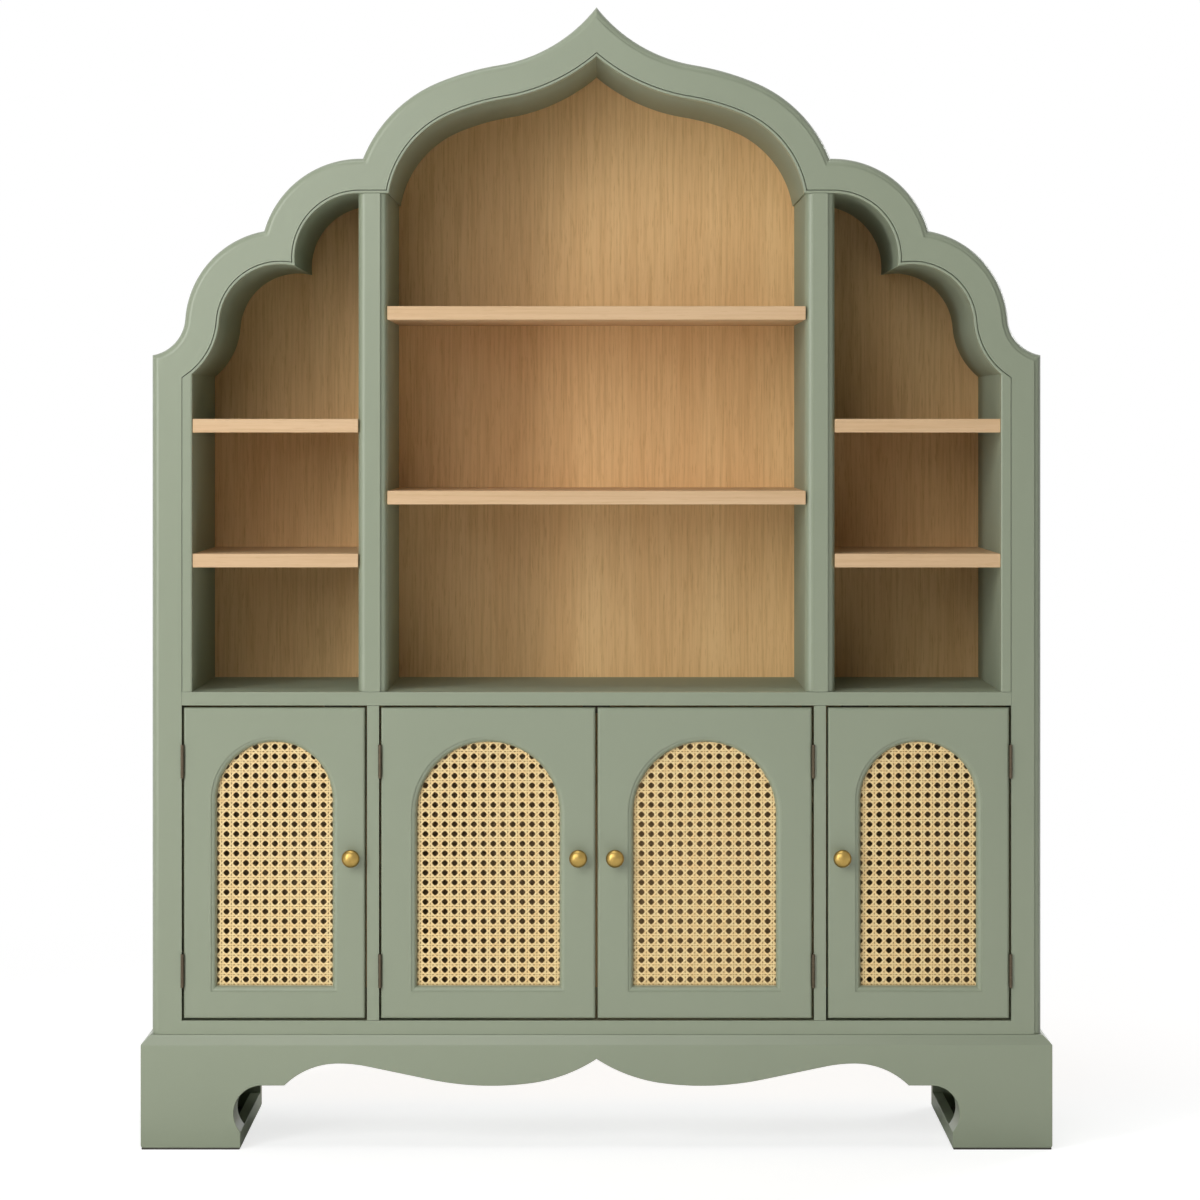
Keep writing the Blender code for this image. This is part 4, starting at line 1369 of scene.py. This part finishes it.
@dataclass
class CaneWeave:
    """Six-way cane webbing: pairs of upright and level strands with diagonals that frame each hole."""

    pitch: float = 0.0162
    pair: float = 0.0019
    width: float = 0.0025
    diagonal_width: float = 0.0026
    thick: float = 0.0004
    sway: float = 0.0002
    swing: float = 0.00045
    steps: int = 4
    weld: float = 0.00002
    uv_name: str = "strand"

    def strand(self, mesh: BMesh, start: Point, end: Point, width: float,
               heights: Callable[[float], float]) -> None:
        """Add one strand of a tile, with the UV map that its finish follows.

        Args:
            mesh: Mesh of the tile.
            start: Place (x, z) where it starts.
            end: Place (x, z) where it ends.
            width: Width of the strand.
            heights: Depth of its middle by the share of its length.
        """
        layer = mesh.loops.layers.uv[self.uv_name]
        run = Vector((end[0] - start[0], 0.0, end[1] - start[1]))
        aside = Vector((run.z, 0.0, -run.x)).normalized() * width / 2.0
        rise = Vector((0.0, self.thick / 2.0, 0.0))
        # Each corner of the section with its share of the strand's width
        section = ((-aside, 0.0), (-rise, 0.5), (aside, 1.0), (rise, 0.5))
        rings = []
        marks = {}
        for i in range(self.steps + 1):
            share = i / self.steps
            middle = Vector((start[0], heights(share), start[1])) + run * share
            rings.append(loop(mesh, [middle + way for way, _ in section]))
            for edge, (_, width_share) in zip(rings[-1], section):
                marks[edge.verts[1]] = (share, width_share)
        faces = []
        for near, far in zip(rings, rings[1:]):
            faces += bmesh.ops.bridge_loops(mesh, edges=near + far)["faces"]
        bmesh.ops.recalc_face_normals(mesh, faces=faces)
        for corner in (corner for face in faces for corner in face.loops):
            corner[layer].uv = marks[corner.vert]

    def tile(self, mesh: BMesh) -> None:
        """Add one square of the webbing, with its hole in the middle.

        Args:
            mesh: Empty mesh.
        """
        mesh.loops.layers.uv.new(self.uv_name)
        size, half = self.pitch, self.pitch / 2.0
        for offset in (self.pair, size - self.pair):
            self.strand(mesh, (offset, 0.0), (offset, size), self.width,
                        lambda share: self.sway * (1.0 + math.cos(2.0 * math.pi * share)) / 2.0)
            self.strand(mesh, (0.0, offset), (size, offset), self.width,
                        lambda share: -self.sway * (1.0 + math.cos(2.0 * math.pi * share)) / 2.0)
        for start, end, first in (
            ((0.0, half), (half, size), -1.0), ((half, 0.0), (size, half), 1.0),
            ((0.0, half), (half, 0.0), 1.0), ((half, size), (size, half), -1.0),
        ):
            self.strand(mesh, start, end, self.diagonal_width,
                        lambda share, first=first: first * self.swing * math.cos(math.pi * share))

    def repeat(self, mesh: BMesh, step: Vector, count: int) -> None:
        """Lay copies of the whole mesh side by side.

        Args:
            mesh: Mesh to work on.
            step: Way from one copy to the next.
            count: Number of copies, with the first.
        """
        source = mesh.verts[:] + mesh.edges[:] + mesh.faces[:]
        for i in range(1, count):
            copy = bmesh.ops.duplicate(mesh, geom=source)
            verts = [item for item in copy["geom"] if isinstance(item, BMVert)]
            bmesh.ops.translate(mesh, vec=step * i, verts=verts)

    def sheet(self, columns: int, rows: int, corner: Vector) -> BMesh:
        """Rectangle of webbing.

        Args:
            columns: Tiles across.
            rows: Tiles up.
            corner: Place of its lower left corner.

        Returns:
            The new mesh.
        """
        mesh = bmesh.new()
        self.tile(mesh)
        self.repeat(mesh, Vector((self.pitch, 0.0, 0.0)), columns)
        self.repeat(mesh, Vector((0.0, 0.0, self.pitch)), rows)
        bmesh.ops.remove_doubles(mesh, verts=mesh.verts, dist=self.weld)
        bmesh.ops.translate(mesh, vec=corner, verts=mesh.verts)
        return mesh


class Kind(Enum):
    """Outer doors hang on the stiles, inner ones on the partitions."""

    OUTER = "outer"
    INNER = "inner"


@dataclass(frozen=True)
class Knob:
    """Turned knob: a flattened ball on a waisted neck and a rose."""

    ball: float = 0.015
    depth: float = 0.0095
    reach: float = 0.030
    neck: float = 0.0055
    waist: float = 0.0006
    cove: float = 0.0008
    rose: float = 0.010
    rose_t: float = 0.003
    rim: Point = (0.0004, 0.0012)
    ball_steps: int = 26
    neck_steps: int = 6
    turn_steps: int = 48

    def profile(self) -> list[Point]:
        """Half section from the tip of the ball to the back of the rose.

        Returns:
            Points as (radius, height).
        """
        centre = self.reach - self.depth
        last = math.pi - math.asin(self.neck / self.ball)
        turns = [last * i / self.ball_steps for i in range(self.ball_steps + 1)]
        points = [(self.ball * math.sin(turn), centre + self.depth * math.cos(turn)) for turn in turns]
        points[0] = (0.0, self.reach)
        tail, foot = points[-1][1], self.rose_t + self.cove
        for i in range(1, self.neck_steps + 1):
            share = i / self.neck_steps
            dip = self.waist * math.sin(math.pi * share)
            points.append((self.neck - dip, tail + (foot - tail) * share))
        small, large = self.rim
        points += [(self.neck + self.cove, self.rose_t), (self.rose - large, self.rose_t)]
        points += [(self.rose - small, self.rose_t - small), (self.rose, self.rose_t - large)]
        return points + [(self.rose, FIT), (0.0, FIT)]

    def mesh(self) -> BMesh:
        """Knob about Z, on its rose."""
        return turned(self.profile(), self.turn_steps)


@dataclass
class Door:
    """Inset door with an arched, moulded opening, cane, knob and hinges."""

    side: Side
    kind: Kind
    outer_stile: float = 0.055
    inner_stile: float = 0.060
    top_rail: float = 0.058
    bottom_rail: float = 0.054
    moulding: float = 0.0092
    quirk: float = 0.0018
    rebate: float = 0.008
    rebate_depth: float = 0.012
    play: float = 0.0004
    edge_width: float = 0.0036
    edge_quirk: float = 0.0006
    edge_steps: int = 4
    back_ease: float = 0.0006
    cane_lap: float = 0.0062
    first_hole: float = 0.0095
    tiles_below: float = 1.5
    bead_gap: float = 0.0002
    bead_play: float = 0.0004
    bead_back: float = 0.0006
    bead_in: float = 0.001
    bead_face: float = 0.002
    bead_round: tuple[Point, ...] = ((0.0022, 0.0012), (0.0042, 0.0))
    arch_steps: tuple[int, int] = (16, 22)
    side_steps: int = 4

    def __post_init__(self) -> None:
        """Read the door's place from its CAD frame."""
        self.name = f"{self.side.label}_{self.kind.value}"
        self.body = f"{self.name}_door"
        self.low, self.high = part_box(f"{self.body}_frame")
        stile = self.outer_stile if self.kind is Kind.OUTER else self.inner_stile
        self.middle = (self.low.x + self.high.x) / 2.0
        self.half = (self.high.x - self.low.x) / 2.0 - stile
        self.bottom = self.low.z + self.bottom_rail
        self.top = self.high.z - self.top_rail
        self.spring = self.top - self.half

    def angles(self) -> list[float]:
        """Angles of the arch's points, with two that look at the frame's top corners.

        Returns:
            Angles in degrees, from the right to the left.
        """
        reach = (self.high.x - self.low.x) / 2.0
        corner = math.degrees(math.atan2(self.high.z - self.spring, reach))
        ends, over = self.arch_steps
        angles = [corner * i / ends for i in range(ends)]
        angles += [corner + (180.0 - 2.0 * corner) * i / over for i in range(over)]
        return angles + [180.0 - corner + corner * i / ends for i in range(ends + 1)]

    def ring(self, half: float, bottom: float, over: Sequence[Point], depth: float) -> list[Vector]:
        """Ring up the right side, over the top and down the left side.

        Args:
            half: Half of its width.
            bottom: Height of its bottom.
            over: Points over the top, about the door's middle.
            depth: Depth behind the face.

        Returns:
            Places of the ring.
        """
        rise = [bottom + (self.spring - bottom) * i / self.side_steps for i in range(self.side_steps)]
        points = [(half, z) for z in rise] + list(over) + [(-half, z) for z in reversed(rise)]
        return upright([(self.middle + x, z) for x, z in points], FRONT + depth)

    def opening(self, grow: float, depth: float) -> list[Vector]:
        """Ring round the opening.

        Args:
            grow: Distance outwards from the sight edge.
            depth: Depth behind the face.

        Returns:
            Places of the ring.
        """
        half = self.half + grow
        over = [step_from((0.0, self.spring), half, angle) for angle in self.angles()]
        return self.ring(half, self.bottom - grow, over, depth)

    def outside(self, inset: float, depth: float) -> list[Vector]:
        """Ring round the frame's outside, whose points match those of the opening.

        Args:
            inset: Distance inwards from the edge.
            depth: Depth behind the face.

        Returns:
            Places of the ring.
        """
        inset += self.play
        half = (self.high.x - self.low.x) / 2.0 - inset
        height = self.high.z - inset - self.spring
        over = []
        for angle in self.angles():
            x, z = step_from((0.0, 0.0), 1.0, angle)
            reach = min(half / max(abs(x), TINY), height / max(z, TINY))
            over.append((x * reach, self.spring + z * reach))
        return self.ring(half, self.low.z + inset, over, depth)

    def frame(self) -> BMesh:
        """Frame as a closed band of rings round its section.

        Returns:
            The new mesh.
        """
        edge = ovolo(self.edge_width, self.edge_quirk, self.edge_steps)
        rings = [self.outside(*edge[0])]
        rings += [self.opening(aside, behind) for aside, behind in ovolo(self.moulding, self.quirk)]
        rings.append(self.opening(0.0, self.rebate_depth))
        rings.append(self.opening(self.rebate, self.rebate_depth))
        rings.append(self.opening(self.rebate, FACE_T))
        rings.append(self.outside(self.back_ease, FACE_T))
        rings.append(self.outside(0.0, FACE_T - self.back_ease))
        rings += [self.outside(aside, behind) for aside, behind in reversed(edge[1:])]
        mesh = bmesh.new()
        skin(mesh, rings, closed=True)
        return mesh

    def beyond(self, place: Vector) -> bool:
        """Whether a place lies past the cane's lap into the rebate.

        Args:
            place: Place on the webbing.

        Returns:
            True where the cane is cut off.
        """
        reach = abs(place.x - self.middle)
        if place.z > self.spring:
            reach = math.hypot(reach, place.z - self.spring)
        return reach > self.half + self.cane_lap or place.z < self.bottom - self.cane_lap

    def webbing(self, weave: CaneWeave) -> BMesh:
        """Cane cut to the opening, with a lap into the rebate.

        Args:
            weave: Webbing to cut from.

        Returns:
            The new mesh.
        """
        low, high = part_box(f"{self.body}_cane")
        columns = 2 * math.ceil((self.half + self.cane_lap) / weave.pitch)
        # An outer door has a hole on its middle line, an inner one has strands there
        if self.kind is Kind.OUTER:
            columns += 1
        first_z = self.bottom + self.first_hole - self.tiles_below * weave.pitch
        rows = math.ceil((self.top + self.cane_lap - first_z) / weave.pitch)
        corner = Vector((self.middle - columns * weave.pitch / 2.0, (low.y + high.y) / 2.0, first_z))
        mesh = weave.sheet(columns, rows, corner)
        spare = [face for face in mesh.faces if self.beyond(face.calc_center_median())]
        bmesh.ops.delete(mesh, geom=spare, context="FACES")
        return mesh

    def bead(self) -> BMesh:
        """Thin bead that holds the cane in its rebate from behind.

        Returns:
            The new mesh.
        """
        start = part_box(f"{self.body}_cane")[1].y - FRONT + self.bead_gap
        end = FACE_T - self.bead_back
        outer = self.rebate - self.bead_play
        section = [(outer, start), (self.bead_in, start), (self.bead_in, start + self.bead_face)]
        section += [(aside, end - drop) for aside, drop in self.bead_round] + [(outer, end)]
        mesh = bmesh.new()
        skin(mesh, [self.opening(aside, depth) for aside, depth in section], closed=True)
        return mesh

    def knob(self) -> BMesh:
        """Knob on the face of the frame, where the CAD has it.

        Returns:
            The new mesh.
        """
        low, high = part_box(f"{self.body}_knob")
        place = Matrix.Translation(((low.x + high.x) / 2.0, FRONT, (low.z + high.z) / 2.0))
        return moved(Knob().mesh(), place @ Matrix.Rotation(math.radians(90.0), 4, "X"))

    def build(self, palette: Palette, nodes: dict[str, Object], weave: CaneWeave) -> None:
        """Build and dress the door.

        Args:
            palette: Finishes.
            nodes: CAD nodes by name, of which the hinge leaves are kept.
            weave: Webbing of the panel.
        """
        body = self.body
        piece(f"painted_{body}", self.frame(), palette.paint, body, [f"{body}_frame"],
              DOOR_EDGE)
        piece(f"woven_{body}_cane", self.webbing(weave), palette.cane, body, [f"{body}_cane"],
              WOVEN_EDGE)
        piece(f"painted_{body}_bead", self.bead(), palette.paint, body)
        piece(f"turned_{body}_knob", self.knob(), palette.brass, body, [f"{body}_knob"],
              TURNED_EDGE)
        for row in ("upper", "lower"):
            for leaf in ("frame_leaf", "door_leaf"):
                refinish(nodes[f"{self.name}_{row}_hinge_{leaf}"], palette.bronze)


@dataclass
class Catches:
    """Magnetic catches under the deck."""

    rounding: float = 0.0015

    def build(self, palette: Palette) -> None:
        """Build and dress the catches.

        Args:
            palette: Finishes.
        """
        for label in ("left", "centre", "right"):
            node = f"magnetic_catch_{label}"
            piece(f"moulded_{node}", board(node, self.rounding), palette.plastic, "root",
                  [node])


@dataclass(frozen=True)
class Softbox:
    """Rectangular lamp: its place, its width and height, and its power in watts."""

    name: str
    place: Place
    size: Point
    power: float


@dataclass
class Studio:
    """Pale floor, soft light from the upper left and the camera."""

    camera_place: Place = (0.0013, -6.169, 1.2)
    lens: float = 108.0
    sensor: float = 36.0
    clip_end: float = 200.0
    shift: Point = (0.00225, -0.1435)
    target: Place = (0.0, 0.0, 0.9)
    lamps: tuple[Softbox, ...] = (
        Softbox("tall_softbox", (-3.0, -3.55, 1.9), (0.8, 3.5), 80.0),
        Softbox("front_softbox", (-1.5, -4.4, 2.75), (2.8, 2.6), 66.0),
        Softbox("top_softbox", (-0.5, -1.0, 4.6), (2.4, 1.2), 34.0),
        Softbox("rear_softbox", (4.2, 4.4, 3.0), (2.4, 2.4), 110.0),
    )
    ambient: Point = (0.03, 0.55)
    ambient_turn: Point = (-0.1, 0.7)
    floor_colour: str = "#F4F4F4"
    floor_shown: str = "#BCBCBC"
    floor_far: str = "#000000"
    floor_size: float = 80.0
    floor_glow: float = 0.74
    floor_fade: Point = (1.3, 2.8)
    floor_open: Point = (-0.22, -0.45)
    floor_bounce: float = 0.42
    bounce_fade: Point = (0.8, 1.8)

    def camera(self) -> None:
        """Level camera straight in front."""
        data = bpy.data.cameras.new("camera")
        data.lens = self.lens
        data.sensor_width = self.sensor
        data.shift_x, data.shift_y = self.shift
        data.clip_end = self.clip_end
        camera = bpy.data.objects.new("camera", data)
        camera.location = self.camera_place
        camera.rotation_euler = (math.radians(90.0), 0.0, 0.0)
        bpy.context.scene.collection.objects.link(camera)
        bpy.context.scene.camera = camera

    def lamp(self, box: Softbox) -> None:
        """Set up a lamp that looks at the middle of the unit.

        Args:
            box: Lamp to set up.
        """
        data = bpy.data.lights.new(box.name, "AREA")
        data.shape = "RECTANGLE"
        data.size, data.size_y = box.size
        data.energy = box.power
        lamp = bpy.data.objects.new(box.name, data)
        lamp.location = box.place
        lamp.rotation_euler = (Vector(self.target) - Vector(box.place)).to_track_quat("-Z", "Y").to_euler()
        bpy.context.scene.collection.objects.link(lamp)

    def seen(self, tree: NodeTree) -> Node:
        """Share of a ray that sees the plain background directly: camera and glass rays."""
        path = add_node(tree, "ShaderNodeLightPath").outputs
        return add_node(tree, "ShaderNodeMath", {"operation": "MAXIMUM"}, None,
                        {0: path["Is Camera Ray"], 1: path["Is Transmission Ray"]})

    def world(self) -> None:
        """White surroundings: a plain background to the eye and to mirrors, soft light mostly from behind."""
        world = bpy.data.worlds.new("studio")
        bpy.context.scene.world = world
        world.use_nodes = True
        tree = world.node_tree
        way = add_node(tree, "ShaderNodeTexCoord").outputs["Generated"]
        split = add_node(tree, "ShaderNodeSeparateXYZ", None, None, {"Vector": way})
        front, back = self.ambient
        start, end = self.ambient_turn
        soft = add_node(tree, "ShaderNodeMapRange", {"interpolation_type": "SMOOTHSTEP"},
                        {"From Min": start, "From Max": end, "To Min": front, "To Max": back},
                        {"Value": split.outputs["Y"]})
        path = add_node(tree, "ShaderNodeLightPath").outputs
        plain = add_node(tree, "ShaderNodeMath", {"operation": "MAXIMUM"}, None,
                         {0: self.seen(tree).outputs["Value"], 1: path["Is Glossy Ray"]})
        strength = add_node(tree, "ShaderNodeMix", {"data_type": "FLOAT"}, {3: 1.0},
                            {0: plain.outputs["Value"], 2: soft.outputs["Result"]})
        tree.links.new(strength.outputs[0], tree.nodes["Background"].inputs["Strength"])
        tree.nodes["Background"].inputs["Color"].default_value = WHITE

    def floor(self) -> None:
        """Pale floor that keeps the object's soft shadow."""
        mesh = bmesh.new()
        bmesh.ops.create_grid(mesh, x_segments=1, y_segments=1, size=self.floor_size / 2.0)
        data = bpy.data.meshes.new("floor")
        mesh.to_mesh(data)
        mesh.free()
        data.materials.append(self.floor_material())
        floor = bpy.data.objects.new("floor", data)
        bpy.context.scene.collection.objects.link(floor)

    def floor_material(self) -> Material:
        """Matt white paint on the floor, a little lit from within so that the eye sees it fade to white.

        Returns:
            The new material.
        """
        material, tree, shader = new_material("matt_white_floor")
        seen = self.seen(tree).outputs["Value"]
        coords = add_node(tree, "ShaderNodeTexCoord").outputs["Object"]
        away = add_node(tree, "ShaderNodeVectorMath", {"operation": "LENGTH"}, None, {0: coords})
        near, far = self.floor_fade
        fade = add_node(tree, "ShaderNodeMapRange", {"interpolation_type": "SMOOTHSTEP"},
                        {"From Min": near, "From Max": far}, {"Value": away.outputs["Value"]})
        shown = add_node(tree, "ShaderNodeMix", {"data_type": "RGBA"},
                         {6: linear(self.floor_shown), 7: linear(self.floor_far)},
                         {0: fade.outputs["Result"]})
        tone = add_node(tree, "ShaderNodeMix", {"data_type": "RGBA"}, {6: linear(self.floor_colour)},
                        {0: seen, 7: shown.outputs[2]})
        level_up = add_node(tree, "ShaderNodeMapRange", None, {"To Min": self.floor_glow, "To Max": 1.0},
                            {"Value": fade.outputs["Result"]})
        # Mirror rays meet the glow ahead of the unit and far away, diffuse rays only ahead and near by
        path = add_node(tree, "ShaderNodeLightPath").outputs
        split = add_node(tree, "ShaderNodeSeparateXYZ", None, None, {"Vector": coords})
        start, end = self.floor_open
        ahead = add_node(tree, "ShaderNodeMapRange", {"interpolation_type": "SMOOTHSTEP"},
                         {"From Min": start, "From Max": end}, {"Value": split.outputs["Y"]})
        clear = add_node(tree, "ShaderNodeMath", {"operation": "MAXIMUM"}, None,
                         {0: ahead.outputs["Result"], 1: fade.outputs["Result"]})
        mirror = add_node(tree, "ShaderNodeMath", {"operation": "MULTIPLY"}, None,
                          {0: path["Is Glossy Ray"], 1: clear.outputs["Value"]})
        start, end = self.bounce_fade
        near_by = add_node(tree, "ShaderNodeMapRange", {"interpolation_type": "SMOOTHSTEP"},
                           {"From Min": start, "From Max": end, "To Min": self.floor_bounce, "To Max": 0.0},
                           {"Value": away.outputs["Value"]})
        sent = add_node(tree, "ShaderNodeMath", {"operation": "MULTIPLY"}, None,
                        {0: ahead.outputs["Result"], 1: near_by.outputs["Result"]})
        bounced = add_node(tree, "ShaderNodeMath", {"operation": "MULTIPLY"}, None,
                           {0: path["Is Diffuse Ray"], 1: sent.outputs["Value"]})
        lit = add_node(tree, "ShaderNodeMath", {"operation": "MAXIMUM"}, None,
                       {0: mirror.outputs["Value"], 1: bounced.outputs["Value"]})
        share = add_node(tree, "ShaderNodeMath", {"operation": "MAXIMUM"}, None,
                         {0: seen, 1: lit.outputs["Value"]})
        glow = add_node(tree, "ShaderNodeMath", {"operation": "MULTIPLY"}, None,
                        {0: level_up.outputs["Result"], 1: share.outputs["Value"]})
        tree.links.new(tone.outputs[2], shader.inputs["Base Color"])
        tree.links.new(glow.outputs["Value"], shader.inputs["Emission Strength"])
        shader.inputs["Emission Color"].default_value = WHITE
        set_inputs(shader, Roughness=1.0, Specular_IOR_Level=0.0)
        material.cycles.emission_sampling = "NONE"
        return material

    def build(self) -> None:
        """Set up the studio."""
        bpy.context.scene.view_settings.view_transform = "Standard"
        self.camera()
        self.world()
        self.floor()
        for box in self.lamps:
            self.lamp(box)


def clear_scene() -> None:
    """Remove whatever the file starts with."""
    for obj in list(bpy.data.objects):
        bpy.data.objects.remove(obj, do_unlink=True)


def main() -> None:
    """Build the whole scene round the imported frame."""
    logging.basicConfig(level=logging.INFO, format="%(name)s: %(message)s")
    clear_scene()
    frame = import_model()
    palette = Palette.mixed()
    curve = HeadCurve()
    Plinth().build(palette)
    Carcass(curve).build(palette, frame["nodes"])
    Head(curve).build(palette)
    UpperBays().build(palette)
    weave = CaneWeave()
    for side in Side:
        for kind in Kind:
            Door(side, kind).build(palette, frame["nodes"], weave)
    Catches().build(palette)
    Studio().build()


if __name__ == "__main__":
    main()
